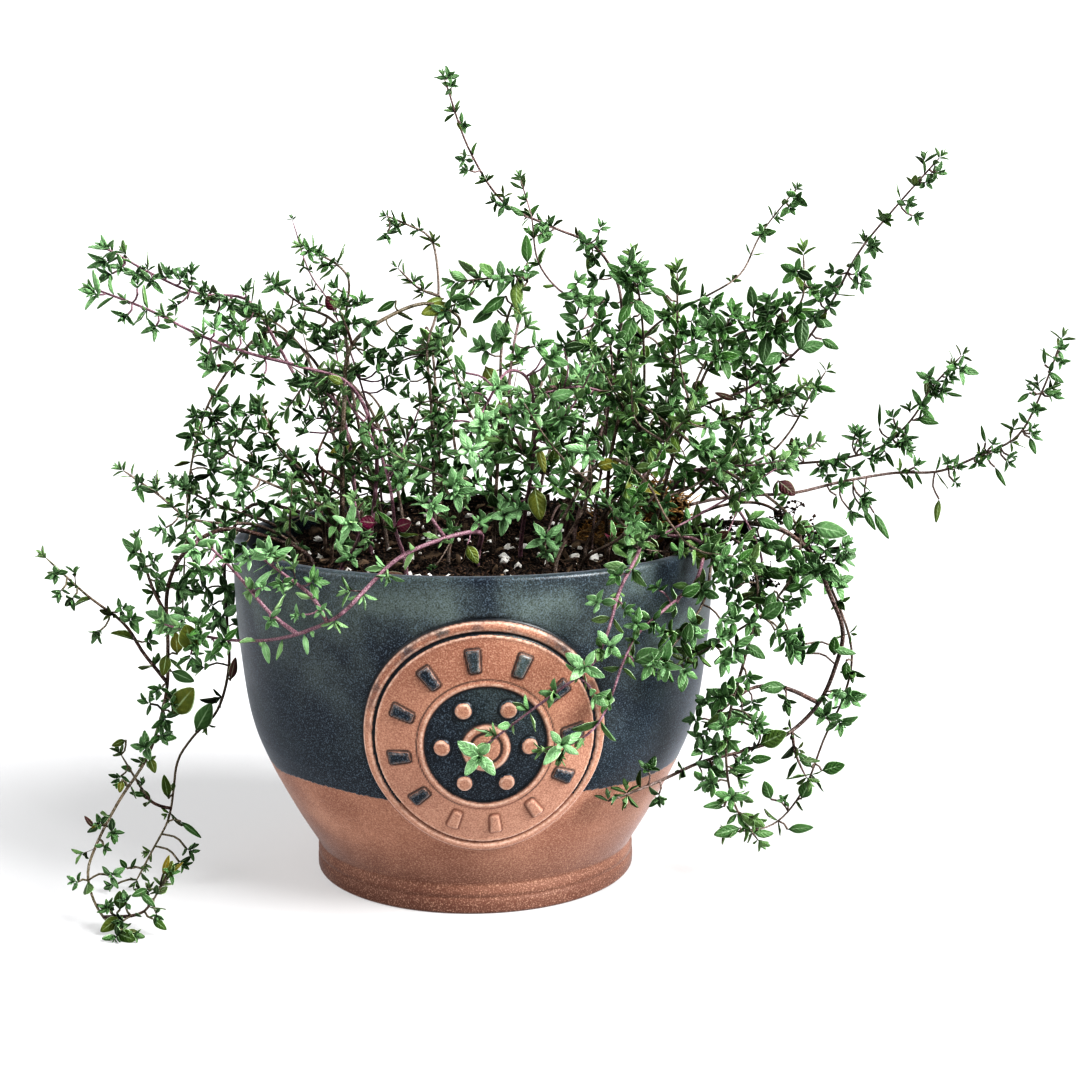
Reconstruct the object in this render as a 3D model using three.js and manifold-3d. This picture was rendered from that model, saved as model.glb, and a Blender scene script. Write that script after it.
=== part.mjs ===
// Potted thyme: a glazed stoneware bowl filled with potting soil, and the leafy stems of a thyme
// plant that rise from it, arch over its rim and trail down beside it.
// Millimetres, +Z up. The origin is the centre of the bowl's base, and -Y is the bowl's front.

import * as THREE from "three";
import { mergeVertices } from "three/addons/utils/BufferGeometryUtils.js";
import Module from "manifold-3d";

const wasm = await Module();
wasm.setup();

// Driving dimensions of the bowl
const POT_HEIGHT = 99.8;
const RIM_RADIUS = 70;
const FOOT_RADIUS = 47.5;
const FOOT_HEIGHT = 6.3;
const FOOT_NECK_RADIUS = 46.9;
const FOOT_NECK_HEIGHT = 8.5;
const WALL = 4;
const FLOOR = 8;
const RIM_ROUNDING = 1.2;
const POT_SEGMENTS = 36;
// Outside of the bowl above its foot, as radius and height
const BOWL_CURVE = [
  [FOOT_NECK_RADIUS, FOOT_NECK_HEIGHT],
  [54.1, 20.8],
  [61.4, 35.3],
  [66.2, 48.8],
  [68.9, 68],
  [RIM_RADIUS, 84],
  [RIM_RADIUS, POT_HEIGHT - RIM_ROUNDING],
];
const BOWL_STEPS = 8;

// Driving dimensions of the round badge on the bowl's front, measured along the clay
const BADGE_HEIGHT = 54;
const BADGE_TURN = THREE.MathUtils.degToRad(4.5);
const BADGE_RADIUS = 34.5;
const BADGE_SECTORS = 24;
const BADGE_SINK = 1.4;
// Radius and rise of each ring of the badge, from its edge to its middle
const BADGE_RINGS = [
  [34.5, 1],
  [31, 1.3],
  [30.4, 0.6],
  [29.4, 0.9],
  [19.6, 0.9],
  [19.2, 1.4],
  [17.6, 1.4],
  [17.2, 0.3],
  [7.4, 0.3],
  [6.6, 1.4],
];
const BAR_COUNT = BADGE_SECTORS / 2;
const BAR_INNER = 21.8;
const BAR_OUTER = 27.4;
const BAR_WIDTH = 3;
const BAR_RISE = 1.7;
const STUD_COUNT = 6;
const STUD_RING = 12.3;
const STUD_RADIUS = 1.9;
const STUD_RISE = 1.4;

// Driving dimensions of the soil and of the mat of dry moss and roots that lies on it
const GAP = 0.3;
const SOIL_EDGE_HEIGHT = 91;
const SOIL_DOME = 4;
const SOIL_BUMP = 0.9;
const SOIL_RINGS = 4;
const SOIL_SEGMENTS = POT_SEGMENTS / 2;
const ROOT_DEPTH = 9;
const MAT_CENTRE = [45, 19];
const MAT_LENGTH = 15;
const MAT_BREADTH = 12;
const MAT_THICKNESS = 6;

// Driving dimensions of the stems and leaves
const STEM_WIDTH = 1.4;
const STEM_CLEARANCE = 3.4;
const POT_CLEARANCE = 2.4;
const BENDING_ROUNDS = 80;
const STEM_SAMPLE = 4;
const STEM_SAG = 0.75;
const HOLE_RADIUS = 2;
const HOLE_SIDES = 5;
const FOOT_TOP = 4;
const LEAF_LENGTH = 10.5;
const LEAF_WIDTH = 5;
const LEAF_THICKNESS = 1;
const LEAF_SPACING = 32;
const LEAF_RISE = THREE.MathUtils.degToRad(38);
const LEAF_GAP = 0.8;
const BARE_LENGTH = 24;
const SEED = 863;

// Routes of the stems. Each spray starts at its root in the soil, [x, y], and its first list is the
// main stem. Every further list is a side branch, which starts at the main stem's nearest point.
const SPRAYS = {
  left_pink: {
    root: [-30, -5],
    stems: [[[-28, -8, 128], [-35, -12, 145], [-48, -15, 150], [-62, -18, 154], [-75, -20, 159],
      [-89, -20, 166], [-105, -18, 172]]],
  },
  left_high: {
    root: [-35, 7],
    stems: [[[-37, 3, 128], [-41, 4, 139], [-51, 6, 144], [-57, 6, 154], [-66, 5, 168], [-80, 2, 170],
      [-93, 0, 176], [-103, -2, 182]]],
  },
  left_upright: {
    root: [-26, 4],
    stems: [
      [[-33, 7, 125], [-37, 10, 147], [-38, 12, 162], [-37, 12, 174], [-40, 10, 178], [-49, 8, 183]],
      [[-38, 12, 158], [-44, 14, 163], [-49, 15, 165], [-54, 16, 168], [-60, 16, 173]],
    ],
  },
  thin_purple: {
    root: [-28, 18],
    stems: [[[-33, 22, 135], [-44, 25, 166], [-50, 26, 175], [-55, 26, 191]]],
  },
  brown_loop: {
    root: [-38, -8],
    stems: [[[-37, -6, 138], [-35, -2, 155], [-25, 0, 163], [-13, 4, 167], [-4, 10, 162], [-8, 16, 156],
      [-15, 18, 151]]],
  },
  mid_upright: {
    root: [-12, 10],
    stems: [
      [[-13, 13, 136], [-14, 14, 154], [-11, 15, 165], [-11, 15, 178], [-13, 14, 186], [-18, 12, 189],
        [-25, 10, 192]],
      [[-11, 15, 168], [-16, 11, 171], [-22, 8, 177]],
    ],
  },
  tall: {
    root: [30, 12],
    stems: [[[37, 13, 125], [43, 16, 152], [43, 16, 171], [36, 16, 183], [23, 14, 189], [9, 12, 196],
      [-1, 10, 211], [-8, 8, 231]]],
  },
  thin_tall: {
    root: [35, 3],
    stems: [[[39, 4, 130], [40, 3, 155], [35, 2, 165], [25, 1, 171], [19, 0, 179], [17, 0, 192],
      [14, 0, 202]]],
  },
  mid_leafy: {
    root: [6, -6],
    stems: [[[8, -10, 135], [9, -15, 158], [12, -19, 168], [16, -20, 175], [7, -21, 175], [-3, -22, 174]]],
  },
  front_fuzzy: {
    root: [14, -16],
    stems: [[[18, -28, 130], [17, -35, 147], [11, -44, 151], [5, -52, 142], [-1, -58, 131]]],
  },
  grey_arch: {
    root: [27, 0],
    stems: [
      [[28, -7, 112], [20, -15, 121], [13, -22, 130], [11, -26, 142], [12, -27, 155], [14, -27, 165]],
      [[26, -5, 110], [24, -20, 110], [21, -30, 102]],
    ],
  },
  pink_mid: {
    root: [47, 10],
    stems: [[[51, 4, 124], [43, -9, 139], [31, -23, 145], [20, -33, 144]]],
  },
  right_fall: {
    root: [39, -3],
    stems: [[[40, -10, 125], [45, -17, 140], [57, -22, 133], [71, -25, 122], [84, -27, 114], [92, -29, 105],
      [89, -34, 93], [81, -38, 84], [70, -44, 78], [54, -54, 72]]],
  },
  brown_hoop: {
    root: [56, 3],
    stems: [
      [[66, -6, 103], [77, -13, 105], [88, -18, 104], [97, -20, 97], [102, -21, 86], [106, -22, 75],
        [104, -24, 66], [99, -26, 55], [89, -31, 47], [76, -37, 44], [64, -44, 43], [52, -49, 39],
        [38, -54, 35]],
      [[99, -26, 56], [89, -28, 60], [80, -31, 61], [73, -36, 58], [67, -41, 54]],
    ],
  },
  thin_hoop: {
    root: [58, 11],
    stems: [[[70, 6, 106], [86, 2, 108], [97, -2, 98], [106, -7, 82], [111, -9, 66], [109, -11, 54],
      [103, -13, 41], [97, -15, 26], [88, -17, 16], [74, -19, 14]]],
  },
  right_leafy_fall: {
    root: [56, -7],
    stems: [[[66, -18, 104], [77, -27, 100], [80, -35, 88], [76, -42, 73], [71, -47, 55], [71, -48, 40],
      [74, -47, 30], [80, -45, 21]]],
  },
  lilac_fall: {
    root: [45, -13],
    stems: [[[56, -30, 104], [64, -36, 103], [62, -46, 95], [53, -56, 89], [45, -62, 83], [41, -66, 76],
      [38, -69, 68], [34, -72, 61], [28, -74, 57], [21, -76, 56]]],
  },
  medal_fall: {
    root: [42, -28],
    stems: [[[46, -48, 105], [45, -60, 104], [40, -68, 96], [37, -74, 87], [33, -77, 79], [25, -79, 73],
      [15, -81, 66], [4, -80, 57]]],
  },
  pink_front: {
    root: [2, -24],
    stems: [
      [[3, -42, 107], [-7, -60, 108], [-17, -71, 105], [-24, -77, 99], [-31, -78, 92], [-41, -71, 86],
        [-51, -63, 82], [-62, -55, 80], [-72, -49, 80], [-83, -44, 82]],
      [[-43, -70, 86], [-51, -63, 89], [-59, -56, 96], [-65, -51, 101], [-73, -46, 107]],
      [[-34, -75, 91], [-38, -77, 96], [-43, -79, 101], [-51, -79, 107]],
      [[-5, -56, 108], [-8, -58, 112], [-11, -58, 117]],
    ],
  },
  short_fuzzy: {
    root: [-35, -41],
    stems: [[[-31, -49, 103], [-28, -55, 110], [-29, -58, 118]]],
  },
  purple_curl: {
    root: [-18, -31],
    stems: [[[-20, -38, 107], [-21, -40, 118], [-24, -34, 127], [-28, -28, 133]]],
  },
  left_mid: {
    root: [-44, 0],
    stems: [[[-46, -10, 116], [-55, -14, 127], [-59, -17, 139]]],
  },
  left_front: {
    root: [-40, -18],
    stems: [[[-38, -29, 110], [-45, -38, 116], [-53, -41, 120], [-63, -44, 125]]],
  },
  long_left_fall: {
    root: [-29, 27],
    stems: [[[-39, 27, 125], [-50, 24, 150], [-62, 20, 158], [-71, 14, 150], [-79, 6, 136], [-83, 0, 119],
      [-84, -6, 99], [-85, -10, 76]]],
  },
  trail_front: {
    root: [-45, -26],
    stems: [
      [[-58, -29, 104], [-69, -31, 106], [-79, -33, 100], [-84, -33, 90], [-85, -31, 73], [-86, -31, 59],
        [-91, -35, 42], [-98, -41, 31], [-103, -47, 21], [-105, -51, 14], [-103, -55, 8], [-98, -60, 3],
        [-90, -66, 2]],
      [[-86, -31, 64], [-92, -31, 71], [-96, -35, 80], [-105, -39, 89], [-115, -42, 100]],
      [[-84, -32, 82], [-88, -34, 90], [-91, -37, 104]],
      [[-98, -60, 4], [-88, -61, 6], [-83, -60, 13]],
    ],
  },
  trail_back: {
    root: [-44, 22],
    stems: [
      [[-58, 21, 104], [-69, 20, 105], [-76, 16, 92], [-76, 13, 71], [-75, 8, 57], [-78, 2, 45],
        [-84, -4, 39], [-88, -8, 33], [-89, -12, 24], [-90, -15, 17], [-94, -20, 9], [-97, -28, 3]],
      [[-89, -14, 19], [-94, -18, 23], [-98, -19, 30], [-102, -20, 38]],
    ],
  },
  left_tip: {
    root: [-50, -9],
    stems: [[[-62, -11, 104], [-72, -14, 105], [-81, -16, 107], [-89, -18, 114], [-98, -20, 121]]],
  },
  right_far: {
    root: [54, 19],
    stems: [[[66, 17, 106], [80, 14, 109], [95, 12, 110], [110, 9, 114], [125, 6, 117], [137, 2, 118],
      [148, -1, 123], [158, -4, 129], [164, -6, 142], [169, -6, 157]]],
  },
  right_far_low: {
    root: [49, 29],
    stems: [[[66, 28, 110], [83, 27, 114], [96, 25, 117], [110, 22, 119], [123, 20, 123], [132, 18, 132],
      [137, 17, 141], [145, 14, 151]]],
  },
  right_twig: {
    root: [45, 36],
    stems: [[[64, 35, 112], [81, 35, 115], [91, 35, 119], [98, 35, 127], [103, 34, 137], [108, 34, 145]]],
  },
  right_high: {
    root: [41, 12],
    stems: [[[51, 10, 120], [66, 7, 136], [80, 4, 142], [95, 2, 154], [104, 0, 168], [111, -2, 182],
      [121, -4, 195], [132, -6, 208]]],
  },
  right_bushy: {
    root: [46, -6],
    stems: [[[60, -7, 128], [68, -9, 150], [76, -9, 159], [88, -9, 161], [94, -9, 169], [94, -9, 181]]],
  },
  back_high: {
    root: [24, 20],
    stems: [[[42, 22, 133], [51, 24, 156], [61, 25, 164], [71, 25, 169], [80, 25, 175], [86, 25, 187],
      [96, 25, 200]]],
  },
  crown_back: {
    root: [41, 26],
    stems: [[[50, 16, 134], [50, 11, 158], [47, 9, 180]]],
  },
  crown_middle: {
    root: [33, -9],
    stems: [[[54, -10, 132], [58, -13, 158], [58, -14, 176]]],
  },
  crown_right: {
    root: [51, -14],
    stems: [[[60, -20, 136], [65, -23, 151], [71, -24, 161]]],
  },
  right_short: {
    root: [56, 27],
    stems: [[[77, 22, 120], [82, 21, 137], [81, 21, 154]]],
  },
  front_right: {
    root: [39, -19],
    stems: [[[49, -32, 121], [54, -39, 132], [61, -45, 141]]],
  },
  front_middle: {
    root: [31, -36],
    stems: [[[42, -49, 108], [46, -56, 122], [51, -58, 131]]],
  },
  low_front: {
    root: [22, -24],
    stems: [[[38, -33, 126], [48, -40, 121], [54, -47, 111], [61, -51, 104], [71, -50, 102]]],
  },
  lilac_drop: {
    root: [50, -1],
    stems: [[[64, -8, 120], [70, -13, 116], [77, -20, 108], [82, -24, 97], [81, -30, 86]]],
  },
  rim_right: {
    root: [58, -16],
    stems: [[[68, -30, 104], [66, -41, 98], [64, -48, 90], [57, -58, 82], [50, -64, 76]]],
  },
  left_arch: {
    root: [-42, 9],
    stems: [[[-46, 2, 113], [-59, -4, 119], [-70, -7, 124], [-77, -9, 130]]],
  },
  left_low: {
    root: [-53, 3],
    stems: [[[-60, -1, 103], [-69, -5, 107], [-77, -9, 111], [-84, -12, 116]]],
  },
  front_left: {
    root: [-6, -27],
    stems: [[[0, -39, 121], [-6, -50, 121]]],
  },
  front_bright: {
    root: [24, -35],
    stems: [[[33, -44, 119], [32, -49, 132]]],
  },
};

// Arching stems behind the crown, spread by rule and varied by the seeded draw
const BACK_STEMS = 9;
const BACK_FROM = THREE.MathUtils.degToRad(42);
const BACK_TO = THREE.MathUtils.degToRad(148);
const BACK_ROOT_RADIUS = [36, 50];
const BACK_REACH = [34, 62];
const BACK_TOP = [128, 164];
const BACK_SWAY = [-7, 7];

// A small generator of even draws from 0 to 1, the same on every run
function seededDraw(seed) {
  let state = seed;
  return () => {
    state = (Math.imul(1664525, state) + 1013904223) >>> 0;
    return state / 4294967296;
  };
}

const draw = seededDraw(SEED);
const between = ([low, high]) => low + (high - low) * draw();

// Closed geometry to a solid and back
function toSolid(geometry) {
  geometry.deleteAttribute("normal");
  geometry.deleteAttribute("uv");
  const merged = mergeVertices(geometry, 1e-4);
  return new wasm.Manifold(
    new wasm.Mesh({
      numProp: 3,
      vertProperties: merged.attributes.position.array,
      triVerts: new Uint32Array(merged.index.array),
    }),
  );
}

function toMesh(name, solid, material) {
  const made = solid.getMesh();
  const geometry = new THREE.BufferGeometry();
  geometry.setAttribute("position", new THREE.BufferAttribute(made.vertProperties, 3));
  geometry.setIndex(new THREE.BufferAttribute(made.triVerts, 1));
  geometry.computeVertexNormals();
  const mesh = new THREE.Mesh(geometry, material);
  mesh.name = name;
  return mesh;
}

// Bowl outline and its lathed solid
const bowlOutside = new THREE.SplineCurve(BOWL_CURVE.map(([r, z]) => new THREE.Vector2(r, z)))
  .getPoints(BOWL_STEPS);
const footOutside = [
  new THREE.Vector2(FOOT_RADIUS - 0.7, 0),
  new THREE.Vector2(FOOT_RADIUS, 1),
  new THREE.Vector2(FOOT_RADIUS, FOOT_HEIGHT),
];
const potOutside = [...footOutside, ...bowlOutside];

function radiusOn(outline, z) {
  for (let i = 1; i < outline.length; i += 1) {
    const low = outline[i - 1];
    const high = outline[i];
    if (z <= high.y) return low.x + ((high.x - low.x) * Math.max(z - low.y, 0)) / (high.y - low.y);
  }
  return outline.at(-1).x;
}

const outsideRadius = (z) => radiusOn(potOutside, z);
const potInside = [FLOOR, FLOOR + 5, 34, 56, 80, POT_HEIGHT - RIM_ROUNDING].map((z, i) => {
  const cornerRounding = i ? 0 : 4;
  return new THREE.Vector2(outsideRadius(z) - WALL - cornerRounding, z);
});

function lathed(points, segments) {
  return new THREE.LatheGeometry(points, segments).rotateX(Math.PI / 2);
}

function makePot() {
  const profile = [
    new THREE.Vector2(0, 0),
    ...potOutside,
    new THREE.Vector2(RIM_RADIUS - RIM_ROUNDING, POT_HEIGHT),
    new THREE.Vector2(RIM_RADIUS - WALL + RIM_ROUNDING, POT_HEIGHT),
    ...potInside.toReversed(),
    new THREE.Vector2(0, FLOOR),
  ];
  let pot = toSolid(lathed(profile, POT_SEGMENTS));
  for (const relief of badgeReliefs()) pot = pot.add(relief);
  return pot;
}

const wallLean = (z) => Math.atan2(outsideRadius(z + 1) - outsideRadius(z - 1), 2);

// Height on the bowl's outside after a walk along the clay from the badge's middle
function wallHeight(up) {
  const strides = 12;
  let z = BADGE_HEIGHT;
  for (let i = 0; i < strides; i += 1) z += (up / strides) * Math.cos(wallLean(z));
  return z;
}

// Point on the bowl's front: turned round the bowl by along, up the clay by up, and raised from it
function badgePoint(along, up, raise) {
  const z = wallHeight(up);
  const lean = wallLean(z);
  const radius = outsideRadius(z) + raise * Math.cos(lean);
  const turn = BADGE_TURN + along / outsideRadius(BADGE_HEIGHT);
  return new THREE.Vector3(
    radius * Math.sin(turn),
    -radius * Math.cos(turn),
    z - raise * Math.sin(lean),
  );
}

// A relief patch of the badge: rings of points from the rim inward, closed by a sunk back
function reliefSolid(rings, centreRaise) {
  const count = rings[0].length;
  const points = rings.flat().map(([along, up, raise]) => badgePoint(along, up, raise));
  const middle = rings[0].reduce((sum, p) => [sum[0] + p[0] / count, sum[1] + p[1] / count], [0, 0]);
  points.push(badgePoint(middle[0], middle[1], centreRaise));
  const faces = [];
  for (let ring = 1; ring < rings.length; ring += 1) {
    for (let i = 0; i < count; i += 1) {
      const next = (i + 1) % count;
      const [a, b] = [(ring - 1) * count + i, (ring - 1) * count + next];
      const [c, d] = [ring * count + i, ring * count + next];
      faces.push(a, b, d, a, d, c);
    }
  }
  const last = (rings.length - 1) * count;
  for (let i = 0; i < count; i += 1) faces.push(last + i, last + ((i + 1) % count), points.length - 1);
  const backMiddle = points.length;
  points.push(badgePoint(middle[0], middle[1], -BADGE_SINK));
  for (let i = 0; i < count; i += 1) faces.push((i + 1) % count, i, backMiddle);
  const geometry = new THREE.BufferGeometry().setFromPoints(points);
  geometry.setIndex(faces);
  return toSolid(geometry);
}

function circlePoints(centre, radius, raise, count) {
  return Array.from({ length: count }, (_, i) => {
    const angle = (2 * Math.PI * i) / count;
    return [centre[0] + radius * Math.cos(angle), centre[1] + radius * Math.sin(angle), raise];
  });
}

// Raised disc with its grooves, a ring of plain bars and a ring of studs round a boss
function badgeReliefs() {
  const rings = [
    circlePoints([0, 0], BADGE_RADIUS / 2, -BADGE_SINK, BADGE_SECTORS),
    circlePoints([0, 0], BADGE_RADIUS, -BADGE_SINK, BADGE_SECTORS),
    ...BADGE_RINGS.map(([radius, raise]) => circlePoints([0, 0], radius, raise, BADGE_SECTORS)),
  ];
  const reliefs = [reliefSolid(rings, BADGE_RINGS.at(-1)[1] + 0.2)];
  for (let i = 0; i < BAR_COUNT; i += 1) {
    const angle = (2 * Math.PI * (2 * i + 0.5)) / BADGE_SECTORS;
    const corners = [
      [BAR_OUTER, BAR_WIDTH / 2],
      [BAR_INNER, BAR_WIDTH / 3],
      [BAR_INNER, -BAR_WIDTH / 3],
      [BAR_OUTER, -BAR_WIDTH / 2],
    ].map(([out, side]) => [
      out * Math.cos(angle) - side * Math.sin(angle),
      out * Math.sin(angle) + side * Math.cos(angle),
    ]);
    const at = (raise) => corners.map(([along, up]) => [along, up, raise]);
    reliefs.push(reliefSolid([at(0.2), at(BAR_RISE)], BAR_RISE));
  }
  for (let i = 0; i < STUD_COUNT; i += 1) {
    const angle = (2 * Math.PI * i) / STUD_COUNT;
    const centre = [STUD_RING * Math.cos(angle), STUD_RING * Math.sin(angle)];
    const at = (raise) => circlePoints(centre, STUD_RADIUS, raise, 5);
    reliefs.push(reliefSolid([at(-0.3), at(STUD_RISE - 0.5)], STUD_RISE));
  }
  return reliefs;
}

// Soil: a low dome with a lumpy top, flat under the mat of moss
function matDistance(x, y) {
  return Math.hypot((x - MAT_CENTRE[0]) / MAT_LENGTH, (y - MAT_CENTRE[1]) / MAT_BREADTH);
}

function soilTop(x, y) {
  const share = Math.hypot(x, y) / (RIM_RADIUS - WALL);
  const dome = SOIL_EDGE_HEIGHT + SOIL_DOME * (1 - share * share);
  const broadLumps = Math.sin(0.21 * x + 0.13 * y) * Math.cos(0.25 * y - 0.1 * x);
  const smallLumps = 0.6 * Math.sin(0.47 * x - 0.39 * y);
  const besideMat = THREE.MathUtils.smoothstep(matDistance(x, y), 1.7, 2.4);
  return dome + SOIL_BUMP * (broadLumps + smallLumps) * besideMat * Math.max(0, 1 - share ** 6);
}

// Top of the soil, or of the mat where that lies on it
function groundTop(x, y) {
  return soilTop(x, y) + MAT_THICKNESS * Math.sqrt(Math.max(0, 1 - matDistance(x, y) ** 2));
}

function makeSoil(holes) {
  const sides = potInside.filter(({ y }) => y < SOIL_EDGE_HEIGHT);
  const wallSide = sides.map(({ x, y }) => new THREE.Vector2(x - GAP, Math.max(y, FLOOR + GAP)));
  const edge = radiusOn(potInside, SOIL_EDGE_HEIGHT) - GAP;
  const rings = Array.from({ length: SOIL_RINGS + 1 }, (_, i) => edge * (1 - i / SOIL_RINGS));
  const top = rings.map((radius) => new THREE.Vector2(radius, SOIL_EDGE_HEIGHT));
  const geometry = lathed([new THREE.Vector2(0, FLOOR + GAP), ...wallSide, ...top], SOIL_SEGMENTS);
  const position = geometry.attributes.position;
  for (let i = 0; i < position.count; i += 1) {
    if (position.getZ(i) < SOIL_EDGE_HEIGHT - 0.1) continue;
    position.setZ(i, soilTop(position.getX(i), position.getY(i)));
  }
  return toSolid(geometry).subtract(holes);
}

// Mat of dry moss and fine roots: a low uneven mound on the soil at the right
function makeMat(holes) {
  const geometry = new THREE.SphereGeometry(1, 12, 6).rotateX(Math.PI / 2);
  const position = geometry.attributes.position;
  for (let i = 0; i < position.count; i += 1) {
    const [u, v, w] = [position.getX(i), position.getY(i), position.getZ(i)];
    const uneven = 1 + 0.1 * Math.sin(4 * u + 3 * v) * Math.cos(5 * v - 2 * w);
    const x = MAT_CENTRE[0] + MAT_LENGTH * u * uneven;
    const y = MAT_CENTRE[1] + MAT_BREADTH * v * uneven;
    const underside = soilTop(x, y) + 1.5 * GAP;
    position.setXYZ(i, x, y, underside + MAT_THICKNESS * Math.max(w, 0) * uneven);
  }
  return toSolid(geometry).subtract(holes);
}

// Smooth points through a route at even steps
function evenPoints(route) {
  const curve = new THREE.CatmullRomCurve3(route, false, "centripetal");
  return curve.getSpacedPoints(Math.max(2, Math.round(curve.getLength() / STEM_SAMPLE)));
}

function backSpray(index) {
  const turn = BACK_FROM + ((BACK_TO - BACK_FROM) * (index + 0.3 + 0.4 * draw())) / BACK_STEMS;
  const out = [Math.cos(turn), Math.sin(turn)];
  const rootRadius = index % 2 ? BACK_ROOT_RADIUS[0] : BACK_ROOT_RADIUS[1];
  const reach = between(BACK_REACH);
  const top = between(BACK_TOP);
  const sway = between(BACK_SWAY);
  const at = (share, z) => {
    const radius = rootRadius + reach * share;
    const swing = sway * share;
    return [radius * out[0] - swing * out[1], radius * out[1] + swing * out[0], z];
  };
  return {
    root: [rootRadius * out[0], rootRadius * out[1]],
    stems: [
      [at(0.12, 0.5 * top + 48), at(0.34, 0.9 * top + 8), at(0.66, top), at(1, top - 0.25 * reach)],
    ],
  };
}

// Stems of every spray as even points; the root end is held, the rest may be bent clear
function layStems(sprays) {
  const stems = [];
  for (const [name, { root, stems: routes }] of Object.entries(sprays)) {
    const footTop = groundTop(root[0], root[1]) + FOOT_TOP;
    const footHeights = [soilTop(root[0], root[1]) - ROOT_DEPTH, footTop - 2 * FOOT_TOP, footTop];
    const foot = footHeights.map((z) => [root[0], root[1], z]);
    const main = evenPoints([...foot, ...routes[0]].map((p) => new THREE.Vector3(...p)));
    const trunk = stems.length;
    const held = Math.ceil((footTop - footHeights[0]) / STEM_SAMPLE);
    stems.push({ name, points: main, held, joint: null });
    for (const route of routes.slice(1)) {
      const start = new THREE.Vector3(...route[0]);
      const joint = nearestIndex(main, start);
      const points = evenPoints([main[joint], ...route.slice(1).map((p) => new THREE.Vector3(...p))]);
      stems.push({ name, points, held: 1, joint: { trunk, index: joint } });
    }
  }
  return stems;
}

function nearestIndex(points, target) {
  let best = 0;
  points.forEach((p, i) => {
    if (p.distanceTo(target) < points[best].distanceTo(target)) best = i;
  });
  return best;
}

// Push a point out of the bowl, up off the soil and up off the floor
function clearOfPot(point) {
  const radius = Math.hypot(point.x, point.y);
  const outward = outsideRadius(Math.min(point.z, POT_HEIGHT)) + POT_CLEARANCE - radius;
  const upward = POT_HEIGHT + POT_CLEARANCE - point.z;
  if (outward > 0 && upward > 0) {
    const overSoil = radius < RIM_RADIUS - WALL - POT_CLEARANCE;
    const spread = 1 + outward / radius;
    if (overSoil) point.z = Math.max(point.z, groundTop(point.x, point.y) + POT_CLEARANCE);
    else if (upward < outward) point.z += upward;
    else point.multiply(new THREE.Vector3(spread, spread, 1));
  }
  point.z = Math.max(point.z, STEM_WIDTH);
}

// Bend different sprays' stems apart where they would touch
function bendClear(stems, rounds) {
  const all = stems.flatMap(({ name, points }) => points.map((point) => ({ name, point })));
  for (let round = 0; round < rounds; round += 1) {
    const pushes = new Map(all.map(({ point }) => [point, new THREE.Vector3()]));
    for (let i = 0; i < all.length; i += 1) {
      for (let j = i + 1; j < all.length; j += 1) {
        const [a, b] = [all[i], all[j]];
        if (a.name === b.name || Math.abs(a.point.x - b.point.x) > STEM_CLEARANCE) continue;
        const apart = a.point.clone().sub(b.point);
        const distance = apart.length();
        if (distance >= STEM_CLEARANCE || distance < 1e-6) continue;
        apart.multiplyScalar((0.5 * (STEM_CLEARANCE - distance)) / distance);
        pushes.get(a.point).add(apart);
        pushes.get(b.point).sub(apart);
      }
    }
    for (const stem of stems) moveStem(stem, stems, pushes);
  }
}

// Move one stem by its pushes, spread smoothly along it, with its root end held
function moveStem({ points, held, joint }, stems, pushes) {
  const moves = points.map((point) => pushes.get(point));
  const smooth = moves.map((move, i) => {
    const before = moves[Math.max(i - 1, 0)];
    const after = moves[Math.min(i + 1, moves.length - 1)];
    return move.clone().multiplyScalar(2).add(before).add(after).multiplyScalar(0.35);
  });
  points.forEach((point, i) => {
    if (i < held) return;
    point.add(smooth[i]);
    clearOfPot(point);
  });
  if (joint) points[0].copy(stems[joint.trunk].points[joint.index]);
}

// The corners that a row of points needs to stay within the sag of it
function cornersOf(points) {
  const chord = new THREE.Line3(points[0], points.at(-1));
  let farthest = 0;
  let worst = STEM_SAG;
  points.forEach((point, i) => {
    const sag = chord.closestPointToPoint(point, true, new THREE.Vector3()).distanceTo(point);
    if (sag > worst) [farthest, worst] = [i, sag];
  });
  if (!farthest) return [points[0], points.at(-1)];
  return [...cornersOf(points.slice(0, farthest + 1)), ...cornersOf(points.slice(farthest)).slice(1)];
}

// A path of straight steps from corner to corner, each step an even share of it
class CorneredPath extends THREE.Curve {
  constructor(corners) {
    super();
    this.corners = corners;
    this.steps = corners.length - 1;
  }

  stepAt(share) {
    return Math.min(Math.floor(share * this.steps + 1e-6), this.steps - 1);
  }

  direction(step) {
    return this.corners[step + 1].clone().sub(this.corners[step]).normalize();
  }

  getPointAt(share) {
    const step = this.stepAt(share);
    return this.corners[step].clone().lerp(this.corners[step + 1], share * this.steps - step);
  }

  getTangentAt(share) {
    const step = this.stepAt(share);
    const atCorner = step > 0 && share * this.steps - step < 1e-6;
    const ahead = this.direction(step);
    return atCorner ? ahead.add(this.direction(step - 1)).normalize() : ahead;
  }
}

// A bent stem as straight steps, with the way its four sides face at each corner
function straightSteps({ name, points }) {
  const path = new CorneredPath(cornersOf(points));
  const ends = [0];
  for (let i = 0; i < path.steps; i += 1) {
    ends.push(ends[i] + path.corners[i].distanceTo(path.corners[i + 1]));
  }
  return { name, path, ends, length: ends.at(-1), frames: path.computeFrenetFrames(path.steps, false) };
}

// Place at a length along the stem: the point, the way forward and the way that one side faces
function placeOn({ path, ends, frames }, along) {
  const step = Math.max(ends.findIndex((end) => end >= along) - 1, 0);
  const part = (along - ends[step]) / (ends[step + 1] - ends[step]);
  const forward = path.direction(step);
  const side = frames.normals[step].clone().lerp(frames.normals[step + 1], part);
  side.addScaledVector(forward, -side.dot(forward)).normalize();
  return { foot: path.corners[step].clone().lerp(path.corners[step + 1], part), forward, side };
}

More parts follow.
